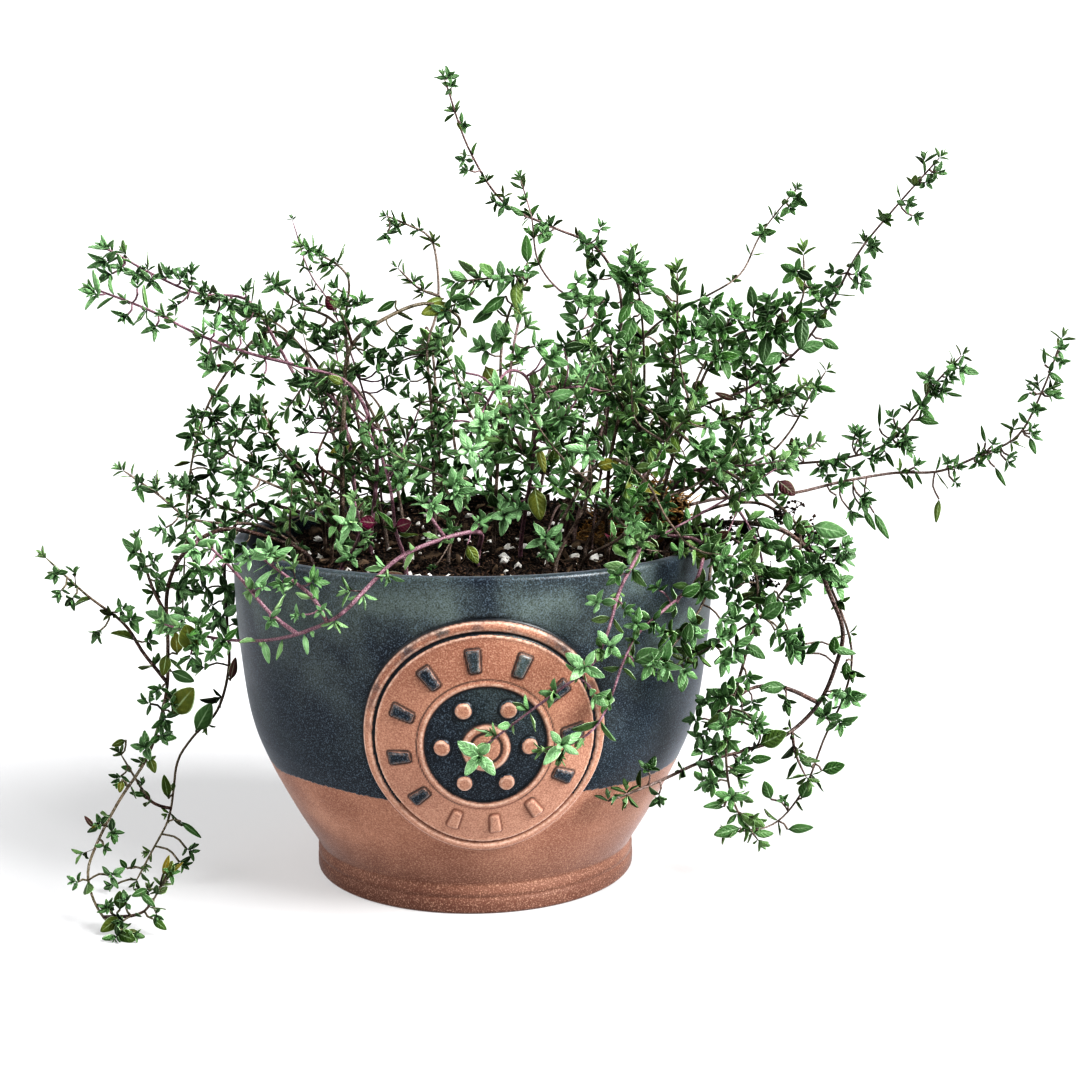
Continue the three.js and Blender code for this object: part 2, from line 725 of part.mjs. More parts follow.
// Square stem along its straight steps
function stemSolid({ path }) {
  const half = STEM_WIDTH / 2;
  const section = new THREE.Shape([
    new THREE.Vector2(-half, -half),
    new THREE.Vector2(half, -half),
    new THREE.Vector2(half, half),
    new THREE.Vector2(-half, half),
  ]);
  return toSolid(new THREE.ExtrudeGeometry(section, { steps: path.steps, extrudePath: path }));
}

// One blade: a pointed ellipse, flat above and keeled below, with its root sunk in the stem
const BLADE_OUTLINE = [
  [0, 0],
  [0.38, 0.5],
  [0.7, 0.38],
  [1, 0],
  [0.7, -0.38],
  [0.38, -0.5],
];
const BLADE_KEEL = 0.32;

function leafSolid({ foot, along, across, size }) {
  const facing = new THREE.Vector3().crossVectors(along, across);
  const at = (u, v, w) =>
    foot
      .clone()
      .addScaledVector(along, u * LEAF_LENGTH * size)
      .addScaledVector(across, v * LEAF_WIDTH * size)
      .addScaledVector(facing, w * LEAF_THICKNESS);
  const points = BLADE_OUTLINE.map(([u, v]) => at(u, v, 0));
  const keel = points.length;
  points.push(at(BLADE_KEEL, 0, -1));
  const under = BLADE_OUTLINE.flatMap((_, i) => [i, (i + 1) % keel, keel]);
  const geometry = new THREE.BufferGeometry().setFromPoints(points);
  geometry.setIndex([...under, 0, 5, 1, 1, 5, 4, 1, 4, 2, 2, 4, 3]);
  return toSolid(geometry);
}

// Balls that stand for a leaf or a stem while leaves are placed
function leafBalls({ foot, along, size }) {
  const at = (share) => foot.clone().addScaledVector(along, share * LEAF_LENGTH * size);
  const wide = 0.5 * LEAF_WIDTH * size;
  return [
    { centre: at(0.36), radius: 0.95 * wide },
    { centre: at(0.66), radius: 0.85 * wide },
    { centre: at(0.92), radius: 0.4 * wide },
  ];
}

// Whether a ball lies beside the bowl, above its rim, or inside it above the ground
function ballIsClear({ centre, radius }) {
  const fromAxis = Math.hypot(centre.x, centre.y);
  const besidePot = fromAxis > outsideRadius(Math.min(centre.z, POT_HEIGHT)) + radius + LEAF_GAP;
  const overPot = centre.z > POT_HEIGHT + radius + LEAF_GAP;
  const withinRim = fromAxis < RIM_RADIUS - WALL - radius - 2 * LEAF_GAP;
  const overGround = centre.z > groundTop(centre.x, centre.y) + radius + LEAF_GAP;
  return (besidePot || overPot || (withinRim && overGround)) && centre.z > radius * 0.5 + LEAF_GAP;
}

function leafIsClear(balls, obstacles, name) {
  return balls.every((ball) => {
    const touches = ({ name: other, centre, radius }) =>
      other !== name && centre.distanceTo(ball.centre) < radius + ball.radius + GAP;
    return ballIsClear(ball) && !obstacles.some(touches);
  });
}

// Opposite leaf pairs along a stem, with a closer tip
function pairPlaces(length) {
  const places = [];
  for (let along = length - 7; along > BARE_LENGTH; along -= LEAF_SPACING * (0.85 + 0.3 * draw())) {
    places.push({ along, size: 0.9 + 0.25 * draw(), rise: LEAF_RISE });
  }
  places.push({ along: length - 0.8, size: 0.7, rise: LEAF_RISE + 0.45 });
  return places;
}

// Stems as rows of balls
function stemBalls(tube) {
  const count = Math.ceil(tube.length / 2);
  return Array.from({ length: count + 1 }, (_, i) => {
    const centre = placeOn(tube, (tube.length * i) / count).foot;
    return { name: tube.name, centre, radius: 0.75 * STEM_WIDTH };
  });
}

// Leaves of all stems, each pair turned a quarter from the last, as the four sides face
function placeLeaves(tubes) {
  const obstacles = tubes.flatMap(stemBalls);
  const leaves = [];
  for (const tube of tubes) {
    pairPlaces(tube.length).forEach(({ along, size, rise }, pair) => {
      const { foot, forward, side } = placeOn(tube, along);
      for (const half of [0, Math.PI]) {
        const turn = half + (pair % 2) * (Math.PI / 2);
        const leaf = clearLeaf({ name: tube.name, foot, forward, side, size, rise, turn }, obstacles);
        if (!leaf) continue;
        leaves.push(leaf);
        obstacles.push(...leafBalls(leaf).map((ball) => ({ ...ball, name: tube.name + " leaf" })));
      }
    });
  }
  return leaves;
}

// Twist round the stem and lift towards its tip, tried in turn
const LEAF_TRIES = [[0, 0], [0, 0.35], [0, -0.3], [0.5, 0], [-0.5, 0], [1, 0.2], [-1, 0.2]];

// The leaf as it would grow, or turned and tilted a little until it is clear of its neighbours
function clearLeaf({ name, foot, forward, side, size, rise, turn }, obstacles) {
  for (const [twist, lift] of LEAF_TRIES) {
    const out = side.clone().applyAxisAngle(forward, turn + twist);
    const along = out.clone().multiplyScalar(Math.cos(rise + lift));
    along.addScaledVector(forward, Math.sin(rise + lift));
    const across = new THREE.Vector3().crossVectors(forward, out).normalize();
    const leaf = { name, foot, along, across, size };
    if (leafIsClear(leafBalls(leaf), obstacles, name)) return leaf;
  }
  return null;
}

// Plain holes that the stems stand in
function makeHoles(sprays) {
  const holes = Object.values(sprays).map(({ root }) => {
    const height = ROOT_DEPTH + MAT_THICKNESS + 3;
    const bottom = soilTop(root[0], root[1]) - ROOT_DEPTH - GAP;
    const geometry = new THREE.CylinderGeometry(HOLE_RADIUS, HOLE_RADIUS, height, HOLE_SIDES);
    geometry.rotateX(Math.PI / 2).translate(root[0], root[1], bottom + height / 2);
    return toSolid(geometry);
  });
  return holes.reduce((sum, hole) => sum.add(hole));
}

const sprays = { ...SPRAYS };
for (let i = 0; i < BACK_STEMS; i += 1) sprays["back_" + (i + 1)] = backSpray(i);

const GLAZE = new THREE.MeshStandardMaterial({ color: 0x36454d, roughness: 0.4 });
const EARTH = new THREE.MeshStandardMaterial({ color: 0x2b211b, roughness: 1 });
const MOSS = new THREE.MeshStandardMaterial({ color: 0x6b5a35, roughness: 1 });
const THYME = new THREE.MeshStandardMaterial({ color: 0x55794f, roughness: 0.7 });

const stems = layStems(sprays);
bendClear(stems, BENDING_ROUNDS);
const tubes = stems.map(straightSteps);
const leaves = placeLeaves(tubes);
const holes = makeHoles(sprays);
const soil = makeSoil(holes);

const plant = new THREE.Group();
for (const name of Object.keys(sprays)) {
  const bodies = [
    ...tubes.filter((tube) => tube.name === name).map(stemSolid),
    ...leaves.filter((leaf) => leaf.name === name).map(leafSolid),
  ];
  plant.add(toMesh("spray_" + name, bodies.reduce((sum, body) => sum.add(body)), THYME));
}

const pottedThyme = new THREE.Group();
pottedThyme.add(toMesh("pot", makePot(), GLAZE));
pottedThyme.add(toMesh("soil", soil, EARTH));
pottedThyme.add(toMesh("moss_mat", makeMat(holes), MOSS));
pottedThyme.add(plant);

export default pottedThyme;
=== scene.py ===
# %% [markdown]
# # Potted thyme
# The object is a glazed stoneware bowl full of potting soil, with some fifty stems of thyme in it.
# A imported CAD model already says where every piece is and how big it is, so this lesson only dresses
# it: each CAD node is hidden, and a finer piece stands in its place in the same frame, in metres.

# %% Load the frame
import math
import random
from collections import namedtuple

import bmesh
import bpy
import numpy as np
from mathutils import Matrix, Vector, noise
from mathutils.bvhtree import BVHTree
from mathutils.kdtree import KDTree


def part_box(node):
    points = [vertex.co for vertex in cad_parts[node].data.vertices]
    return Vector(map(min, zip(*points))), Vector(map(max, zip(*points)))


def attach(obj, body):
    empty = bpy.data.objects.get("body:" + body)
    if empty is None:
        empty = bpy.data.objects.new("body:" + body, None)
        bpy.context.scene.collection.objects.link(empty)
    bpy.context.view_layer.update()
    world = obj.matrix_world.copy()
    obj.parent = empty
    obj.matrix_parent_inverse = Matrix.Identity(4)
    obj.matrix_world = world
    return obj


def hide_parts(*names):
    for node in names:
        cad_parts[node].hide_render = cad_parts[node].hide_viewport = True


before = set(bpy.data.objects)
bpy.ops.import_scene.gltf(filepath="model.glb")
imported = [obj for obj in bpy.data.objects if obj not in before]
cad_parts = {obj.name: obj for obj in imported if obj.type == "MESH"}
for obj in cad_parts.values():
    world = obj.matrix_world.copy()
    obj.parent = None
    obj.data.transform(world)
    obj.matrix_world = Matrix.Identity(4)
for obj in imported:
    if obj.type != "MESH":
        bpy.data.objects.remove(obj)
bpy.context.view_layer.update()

MM = 0.001

# %% [markdown]
# ## Camera, light and floor
# The photo looks slightly down on the bowl from half a metre away, on a seamless white table. A large
# pale floor that glows a little, as a light table does, lies under a white sky. A broad lamp at the
# right and a weaker one at the left give the leaves and the bowl their bright sides; the front of the
# bowl stays darker between them, and only a faint shadow falls by the foot.

# %% Camera
CAMERA_PLACE = Vector((19.5, -525.6, 187.55)) * MM
CAMERA_DIP = math.radians(9.69)
CAMERA_LENS = 60.16
SENSOR_WIDTH = 36.0

scene = bpy.context.scene
camera_data = bpy.data.cameras.new("camera")
camera_data.lens = CAMERA_LENS
camera_data.sensor_width = SENSOR_WIDTH
camera = bpy.data.objects.new("camera", camera_data)
camera.location = CAMERA_PLACE
camera.rotation_euler = (math.pi / 2 - CAMERA_DIP, 0, 0)
scene.collection.objects.link(camera)
scene.camera = camera
scene.view_settings.view_transform = "Standard"
scene.view_settings.look = "Very High Contrast"
print("camera at", [round(c, 4) for c in camera.location])

# %% Light
SKY_SEEN, SKY_LIGHT = 0.92, 0.27
SKY_COLOUR = (0.985, 0.99, 1.0)
# Where each lamp stands, how broad it looks, and its strength
LAMPS = {"right_lamp": (Vector((0.75, -0.35, 0.65)), math.radians(36), 4.8),
         "left_lamp": (Vector((-0.85, -0.3, 0.5)), math.radians(55), 1.3)}


def seen_or_lit(tree, seen, lit):
    """One strength for what the camera sees, and another for the light that falls on things."""
    path = tree.nodes.new("ShaderNodeLightPath")
    made = tree.nodes.new("ShaderNodeMapRange")
    made.inputs["To Min"].default_value = lit
    made.inputs["To Max"].default_value = seen
    tree.links.new(path.outputs["Is Camera Ray"], made.inputs["Value"])
    return made.outputs["Result"]


world = bpy.data.worlds.new("white_room")
world.use_nodes = True
sky = world.node_tree.nodes["Background"]
sky.inputs["Color"].default_value = (*SKY_COLOUR, 1)
world.node_tree.links.new(seen_or_lit(world.node_tree, SKY_SEEN, SKY_LIGHT), sky.inputs["Strength"])
scene.world = world
for lamp_name, (lamp_from, lamp_width, lamp_strength) in LAMPS.items():
    lamp_data = bpy.data.lights.new(lamp_name, "SUN")
    lamp_data.angle = lamp_width
    lamp_data.energy = lamp_strength
    lamp = bpy.data.objects.new(lamp_name, lamp_data)
    lamp.rotation_euler = (-lamp_from).to_track_quat("-Z", "Y").to_euler()
    scene.collection.objects.link(lamp)
    print(lamp_name, "of strength", lamp_strength)

# %% [markdown]
# ## Small helpers
# A shader is a web of little nodes. These helpers each add one node and hand back the socket that the
# next one reads, so that a material further down reads like a recipe.

# %% Node helpers
def put(tree, kind, inputs, **settings):
    """Add a node, set its settings, and fill its inputs with sockets or plain values."""
    made = tree.nodes.new(kind)
    for key, value in settings.items():
        setattr(made, key, value)
    for key, value in inputs.items():
        if isinstance(value, bpy.types.NodeSocket):
            tree.links.new(value, made.inputs[key])
        else:
            made.inputs[key].default_value = value
    return made


def calc(tree, operation, first, second=0.0):
    return put(tree, "ShaderNodeMath", {0: first, 1: second}, operation=operation).outputs[0]


def times(tree, first, *others):
    """Multiply two or more values."""
    for other in others:
        first = calc(tree, "MULTIPLY", first, other)
    return first


def spread(tree, value, low, high, to_low=0.0, to_high=1.0):
    """Stretch a value from one range to another, and stop at its ends."""
    inputs = {"Value": value, "From Min": low, "From Max": high, "To Min": to_low, "To Max": to_high}
    return put(tree, "ShaderNodeMapRange", inputs).outputs["Result"]


def grainy(tree, vector, scale, detail=2.0):
    inputs = {"Vector": vector, "Scale": scale, "Detail": detail}
    return put(tree, "ShaderNodeTexNoise", inputs).outputs[0]


def attribute(tree, name):
    """The three numbers of a vector attribute, as sockets."""
    read = put(tree, "ShaderNodeAttribute", {}, attribute_name=name)
    return put(tree, "ShaderNodeSeparateXYZ", {0: read.outputs["Vector"]}).outputs


# %% Colour helpers
def colour(red, green, blue):
    """A colour as it looks on a screen, from 0 to 255, as the linear numbers that a shader wants."""
    parts = [c / 255 for c in (red, green, blue)]
    return (*(c / 12.92 if c < 0.04 else ((c + 0.055) / 1.055) ** 2.4 for c in parts), 1.0)


def blend(tree, share, first, second):
    """Mix two colours; the inputs of a Mix node's colours are its sixth and seventh."""
    return put(tree, "ShaderNodeMix", {0: share, 6: first, 7: second}, data_type="RGBA").outputs[2]


def layered(tree, base, *layers):
    """Lay colours over a base, each by its own share."""
    for share, tint in layers:
        base = blend(tree, share, base, colour(*tint))
    return base


def new_material(name, **plain):
    """A material, its node tree, its Principled shader and its Object coordinates."""
    made = bpy.data.materials.new(name)
    made.use_nodes = True
    tree = made.node_tree
    shader = tree.nodes["Principled BSDF"]
    for key, value in plain.items():
        shader.inputs[key.replace("_", " ")].default_value = value
    return made, tree, shader, put(tree, "ShaderNodeTexCoord", {}).outputs["Object"]


print("a mid grey in linear numbers:", [round(c, 3) for c in colour(128, 128, 128)])

# %% Floor
FLOOR_HALF = 60.0
FLOOR_GLOW_SEEN, FLOOR_GLOW_LIT = 0.28, 0.15

floor_form = bmesh.new()
bmesh.ops.create_grid(floor_form, x_segments=1, y_segments=1, size=FLOOR_HALF)
floor_mesh = bpy.data.meshes.new("floor")
floor_form.to_mesh(floor_mesh)
floor_form.free()
floor = bpy.data.objects.new("floor", floor_mesh)
scene.collection.objects.link(floor)
paper, tree, shader, _ = new_material(
    "white_table", Roughness=0.6, Specular_IOR_Level=0.2, Base_Color=(0.36, 0.36, 0.365, 1),
    Emission_Color=(1, 1, 1, 1))
glow = seen_or_lit(tree, FLOOR_GLOW_SEEN, FLOOR_GLOW_LIT)
tree.links.new(glow, shader.inputs["Emission Strength"])
floor_mesh.materials.append(paper)
print("floor", 2 * FLOOR_HALF, "m wide")

# %% Finishing a piece
pieces_made = {}


def finish_piece(name, form, materials, nodes=(), smooth=True):
    """Turn a bmesh in millimetres into a piece in metres that rides on the body."""
    bmesh.ops.scale(form, vec=(MM,) * 3, verts=form.verts)
    for face in form.faces:
        face.smooth = smooth
    mesh = bpy.data.meshes.new(name)
    form.to_mesh(mesh)
    form.free()
    for material in materials:
        mesh.materials.append(material)
    piece = bpy.data.objects.new(name, mesh)
    scene.collection.objects.link(piece)
    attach(piece, "root")
    if nodes:
        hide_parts(*nodes)
    pieces_made[name] = sum(len(face.vertices) - 2 for face in mesh.polygons)
    return piece


def add_copy(form, shape, matrix):
    """Copy a ready mesh into a bmesh through a matrix; returns the new vertices."""
    start = len(form.verts)
    form.from_mesh(shape)
    form.verts.ensure_lookup_table()
    fresh = form.verts[start:]
    for vert in fresh:
        vert.co = matrix @ vert.co
    return fresh


def to_shape(form, name):
    """Keep a bmesh as a mesh that can be copied."""
    shape = bpy.data.meshes.new(name)
    form.to_mesh(shape)
    form.free()
    return shape


# %% [markdown]
# ## Shared surface effects
# Clay, glaze, soil, moss and stems are all grainy, so one node group gives each of them its fine light
# and dark grains. Most of them, and the leaves, are mottled too, so a second group drifts slowly
# between two colours. A group is built once, and each material fills in its own values.

# %% Node groups
VECTOR, FLOAT, COLOUR = "NodeSocketVector", "NodeSocketFloat", "NodeSocketColor"


def new_group(name, inputs):
    """A node group with named inputs, which puts out a colour and a height."""
    group = bpy.data.node_groups.new(name, "ShaderNodeTree")
    for label, kind in inputs.items():
        group.interface.new_socket(name=label, in_out="INPUT", socket_type=kind)
    for label, kind in (("Colour", COLOUR), ("Height", FLOAT)):
        group.interface.new_socket(name=label, in_out="OUTPUT", socket_type=kind)
    return group, group.nodes.new("NodeGroupInput").outputs, group.nodes.new("NodeGroupOutput").inputs


GRAINS, given, result = new_group("fine_grains", {
    "Place": VECTOR, "Scale": FLOAT, "Colour": COLOUR, "Pale": COLOUR, "Dark": COLOUR, "Amount": FLOAT})
grain = grainy(GRAINS, given["Place"], given["Scale"], 1.5)
pale_share = times(GRAINS, spread(GRAINS, grain, 0.5, 0.72), given["Amount"])
dark_share = times(GRAINS, spread(GRAINS, grain, 0.5, 0.28), given["Amount"])
with_pale = blend(GRAINS, pale_share, given["Colour"], given["Pale"])
GRAINS.links.new(blend(GRAINS, dark_share, with_pale, given["Dark"]), result["Colour"])
GRAINS.links.new(grain, result["Height"])

MOTTLE, given, result = new_group("slow_mottle", {
    "Place": VECTOR, "Scale": FLOAT, "First": COLOUR, "Second": COLOUR})
drift = grainy(MOTTLE, given["Place"], given["Scale"], 3.0)
mottled = blend(MOTTLE, spread(MOTTLE, drift, 0.35, 0.65), given["First"], given["Second"])
MOTTLE.links.new(mottled, result["Colour"])
MOTTLE.links.new(drift, result["Height"])
print("groups:", [group.name for group in bpy.data.node_groups])


# %% Placing the groups
def mottled_skin(tree, place, scale, first, second):
    """Two colours that drift into each other, as the group's outputs."""
    inputs = {"Place": place, "Scale": scale, "First": colour(*first), "Second": colour(*second)}
    return put(tree, "ShaderNodeGroup", inputs, node_tree=MOTTLE).outputs


def grained_skin(tree, place, scale, base, pale, dark, amount):
    """A colour with fine pale and dark grains, as the group's outputs."""
    inputs = {"Place": place, "Scale": scale, "Colour": base, "Pale": colour(*pale),
              "Dark": colour(*dark), "Amount": amount}
    return put(tree, "ShaderNodeGroup", inputs, node_tree=GRAINS).outputs


def wear(tree, shader, skin, height=None, depth=0.0):
    """Give the shader its colour, and let a height in metres tilt its surface."""
    tree.links.new(skin, shader.inputs["Base Color"])
    if height is not None:
        bump = put(tree, "ShaderNodeBump", {"Height": height, "Distance": depth, "Strength": 1.0})
        tree.links.new(bump.outputs["Normal"], shader.inputs["Normal"])


# %% [markdown]
# ## Bowl
# The real bowl was thrown on a wheel: a foot ring, a wall that opens and then stands upright, and a
# rounded rim. A half outline spun round the axis makes that in one stroke. Only the front carries
# fine relief, so the outline is spun in two turns: short steps behind the badge, long ones elsewhere.

# %% Bowl sizes
_, pot_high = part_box("pot")
POT_HEIGHT = pot_high.z / MM
RIM_RADIUS = pot_high.x / MM
FOOT_RADIUS, FOOT_HEIGHT = 47.5, 6.3
FOOT_NECK = (46.9, 8.5)
WALL, FLOOR_THICKNESS = 4.0, 8.0
RIM_ROUNDING = 1.2
BOWL_CURVE = [FOOT_NECK, (54.1, 20.8), (61.4, 35.3), (66.2, 48.8), (68.9, 68), (RIM_RADIUS, 84),
              (RIM_RADIUS, POT_HEIGHT - RIM_ROUNDING)]
print("bowl", round(2 * RIM_RADIUS, 1), "mm wide and", round(POT_HEIGHT, 1), "mm high")


# %% Smooth curves through a few points
def curve_through(corners, shares, power):
    """Points of a Catmull-Rom curve at shares from 0 to 1; a power of 0.5 makes it centripetal."""
    corners = np.asarray(corners, float)
    padded = np.vstack([2 * corners[0] - corners[1], corners, 2 * corners[-1] - corners[-2]])
    place = np.clip(shares, 0, 1) * (len(corners) - 1)
    step = np.minimum(place.astype(int), len(corners) - 2)
    share = (place - step)[:, None]
    p0, p1, p2, p3 = (padded[step + i] for i in range(4))
    g0, g1, g2 = (
        np.maximum(np.linalg.norm(b - a, axis=1), 1e-6)[:, None] ** power
        for a, b in ((p0, p1), (p1, p2), (p2, p3))
    )
    leaving = ((p1 - p0) / g0 - (p2 - p0) / (g0 + g1) + (p2 - p1) / g1) * g1
    arriving = ((p2 - p1) / g1 - (p3 - p1) / (g1 + g2) + (p3 - p2) / g2) * g1
    bend = 3 * (p2 - p1) - 2 * leaving - arriving
    turn = 2 * (p1 - p2) + leaving + arriving
    return p1 + share * (leaving + share * (bend + share * turn))


bowl_radii, bowl_heights = curve_through(BOWL_CURVE, np.linspace(0, 1, 400), 0).T
bowl_run = np.concatenate([[0], np.cumsum(np.hypot(np.diff(bowl_radii), np.diff(bowl_heights)))])


def outside_radius(z):
    """Radius of the bowl's outside at a height."""
    return np.where(np.asarray(z) < FOOT_NECK[1], FOOT_RADIUS, np.interp(z, bowl_heights, bowl_radii))


print("the bowl's wall runs", round(float(bowl_run[-1]), 1), "mm from foot to rim")

# %% Bowl outline
DENSE_FROM, DENSE_TO, DENSE_STEP = 18.6, 89.4, 0.34
COARSE_STEP = 1.2


def arc(centre, radius, start, end, steps):
    """Points of a round stretch, with its angles in degrees."""
    angles = np.radians(np.linspace(start, end, steps + 1))
    return [(centre[0] + radius * math.cos(a), centre[1] + radius * math.sin(a)) for a in angles]


wall_rows = np.concatenate([
    np.arange(FOOT_NECK[1] + 0.7, DENSE_FROM, COARSE_STEP),
    np.arange(DENSE_FROM, DENSE_TO, DENSE_STEP),
    np.arange(DENSE_TO, POT_HEIGHT - RIM_ROUNDING, COARSE_STEP),
])
outer_rim = arc((RIM_RADIUS - RIM_ROUNDING, POT_HEIGHT - RIM_ROUNDING), RIM_ROUNDING, 0, 90, 5)
inner_rim = arc((RIM_RADIUS - WALL + RIM_ROUNDING, POT_HEIGHT - RIM_ROUNDING), RIM_ROUNDING, 90, 180, 5)
inside_rows = [90, 80, 68, 56, 45, 34, 24, 17, 13]
bowl_outline = [
    (0, 0), (20, 0), (40, 0), (45.6, 0),
    *arc((FOOT_RADIUS - 1, 1), 1, -90, 0, 4),
    (FOOT_RADIUS, 3), (FOOT_RADIUS - 0.1, 4.4), (FOOT_RADIUS - 0.45, 4.8), (FOOT_RADIUS - 0.1, 5.2),
    (FOOT_RADIUS - 0.1, FOOT_HEIGHT), (47.25, 7.3), (46.95, 8), FOOT_NECK,
    *((float(outside_radius(z)), z) for z in wall_rows),
    *outer_rim, *inner_rim,
    *((float(outside_radius(z)) - WALL, z) for z in inside_rows),
    (float(outside_radius(9)) - WALL - 3, 9), (float(outside_radius(9)) - WALL - 8, FLOOR_THICKNESS),
    (20, FLOOR_THICKNESS), (0, FLOOR_THICKNESS),
]
print("outline points:", len(bowl_outline))

# %% [markdown]
# ## Badge
# A round badge was pressed on the bowl's front. Its relief is a formula: how far the clay stands out
# at a distance and an angle from the badge's middle. The distance is walked along the clay, so that
# the badge stays round on the leaning wall. The formula also says where wiping laid the clay bare.

# %% Badge sizes
BADGE_HEIGHT = 54
BADGE_TURN = math.radians(4.5)
BADGE_SQUEEZE = 1.05
# Distance from the middle and rise of each turn of the relief
BADGE_RELIEF = [
    (0, 1.5), (3.4, 1.45), (4.0, 1.0), (4.7, 1.0), (5.2, 1.4), (6.2, 1.3), (6.8, 0.8), (7.2, 0.15),
    (16.4, 0.1), (16.9, 0.35), (17.4, 1.0), (17.9, 1.15), (18.4, 1.05), (18.9, 0.9), (30.0, 0.85),
    (30.7, 1.05), (31.1, 0.95), (31.4, 0.25), (31.9, 0.2), (32.2, 0.8), (32.7, 1.15), (33.4, 1.25),
    (34.2, 1.1), (34.8, 0.6), (35.2, -0.1), (35.7, -0.2), (36.2, 0)]
BADGE_END = BADGE_RELIEF[-1][0]
BAR_COUNT, BAR_MIDDLE, BAR_HALF, BAR_RISE = 12, 24.4, (3.0, 1.5), 0.85
BAR_CORNER, BAR_WIDENING = 0.4, 0.08
STUD_COUNT, STUD_RING, STUD_RADIUS, STUD_RISE = 6, 12.1, 2.4, 1.3
SOFT_EDGE = 0.28
# Where each circle of the badge begins, is full, starts to fade and ends
GROOVE, RECESS, RING = (31.0, 31.3, 31.9, 32.2), (6.7, 7.1, 16.8, 17.2), (31.9, 32.3, 34.6, 35.0)
BARE_FADE = (35.3, 34.7)
# Middle and half width of the hollows painted with shade and of the crests painted with highlights round
# the badge
HOLLOWS = [(4.3, 0.35), (7.0, 0.35), (16.9, 0.3), (19.1, 0.1), (31.65, 0.35), (35.2, 0.4)]
CRESTS = [(6.0, 0.3), (17.8, 0.25), (30.8, 0.2), (32.5, 0.2), (34.4, 0.2)]
print("badge", 2 * BADGE_END, "mm across, with", BAR_COUNT, "bars and", STUD_COUNT, "studs")


# %% Badge relief
def ramp(value, low, high):
    """0 at low, 1 at high, and a smooth rise or fall between them."""
    share = min(max((value - low) / (high - low), 0.0), 1.0)
    return share * share * (3 - 2 * share)


def band(value, start, full, fade, end):
    """1 between full and fade, and 0 outside start and end."""
    return ramp(value, start, full) * ramp(value, end, fade)


def line(value, middle, half):
    """1 on a line, fading to 0 beside it."""
    return ramp(abs(value - middle), half + 0.25, half - 0.1)


def bar_gap(out, side):
    """Distance to the rounded edge of a bar, below 0 inside it; a bar widens away from the middle."""
    half_width = BAR_HALF[1] + BAR_WIDENING * (out - BAR_MIDDLE)
    gap_out = abs(out - BAR_MIDDLE) - BAR_HALF[0] + BAR_CORNER
    gap_side = abs(side) - half_width + BAR_CORNER
    return math.hypot(max(gap_out, 0), max(gap_side, 0)) + min(max(gap_out, gap_side), 0) - BAR_CORNER


def badge_at(along, up):
    """Rise in mm, then bare clay, badge and ring, then painted shade in hollows, painted highlight on
    crests and inside, each from 0 to 1.
    """
    distance, angle = math.hypot(along, up), math.atan2(up, along)
    if distance > BADGE_END:
        return 0.0, (0, 0, 0), (0, 0, 0)
    spoke = 2 * math.pi / BAR_COUNT
    turned = (angle - spoke / 4 + spoke / 2) % spoke - spoke / 2
    gap = bar_gap(distance * math.cos(turned), distance * math.sin(turned))
    bar = ramp(gap, SOFT_EDGE, -SOFT_EDGE)
    part = 2 * math.pi / STUD_COUNT
    around = (angle + part / 2) % part - part / 2
    beside = math.hypot(distance * math.cos(around) - STUD_RING, distance * math.sin(around))
    stud = ramp(beside, STUD_RADIUS + SOFT_EDGE, STUD_RADIUS - 2 * SOFT_EDGE)
    rise = float(np.interp(distance, *zip(*BADGE_RELIEF))) + (BAR_RISE * bar + STUD_RISE * stud)
    dark = max(band(distance, *GROOVE), band(distance, *RECESS))
    bare = min(max(1 - dark - bar + stud, 0), 1) * ramp(distance, *BARE_FADE)
    hollow_shade = max(*(line(distance, *h) for h in HOLLOWS), line(gap, 0.35, 0.25),
                 line(beside, STUD_RADIUS + 0.4, 0.2))
    crest = max(*(line(distance, *c) for c in CRESTS), line(gap, -0.35, 0.15),
                line(beside, STUD_RADIUS - 0.6, 0.2))
    return rise, (bare, 1, band(distance, *RING)), (hollow_shade, crest, 0)


print("the boss stands", badge_at(0, 0)[0], "mm proud of the wall")

# %% Spin the bowl and raise its badge
FINE_HALF_TURN = math.radians(33)
FINE_STEPS, LONG_STEPS = 204, 64
SEAM_WIDTH = 0.004
# The hand-thrown wall wanders by a quarter of a millimetre
WOBBLE = 0.25


def spin_outline(form, outline, toward, angle, steps, merge=False):
    """Spin an outline round the upright axis, from the side that it is drawn toward."""
    spots = [form.verts.new((radius * toward[0], radius * toward[1], z)) for radius, z in outline]
    edges = [form.edges.new(pair) for pair in zip(spots, spots[1:])]
    bmesh.ops.spin(form, geom=spots + edges, cent=(0, 0, 0), axis=(0, 0, 1), angle=angle, steps=steps,
                   use_merge=merge, use_duplicate=False)


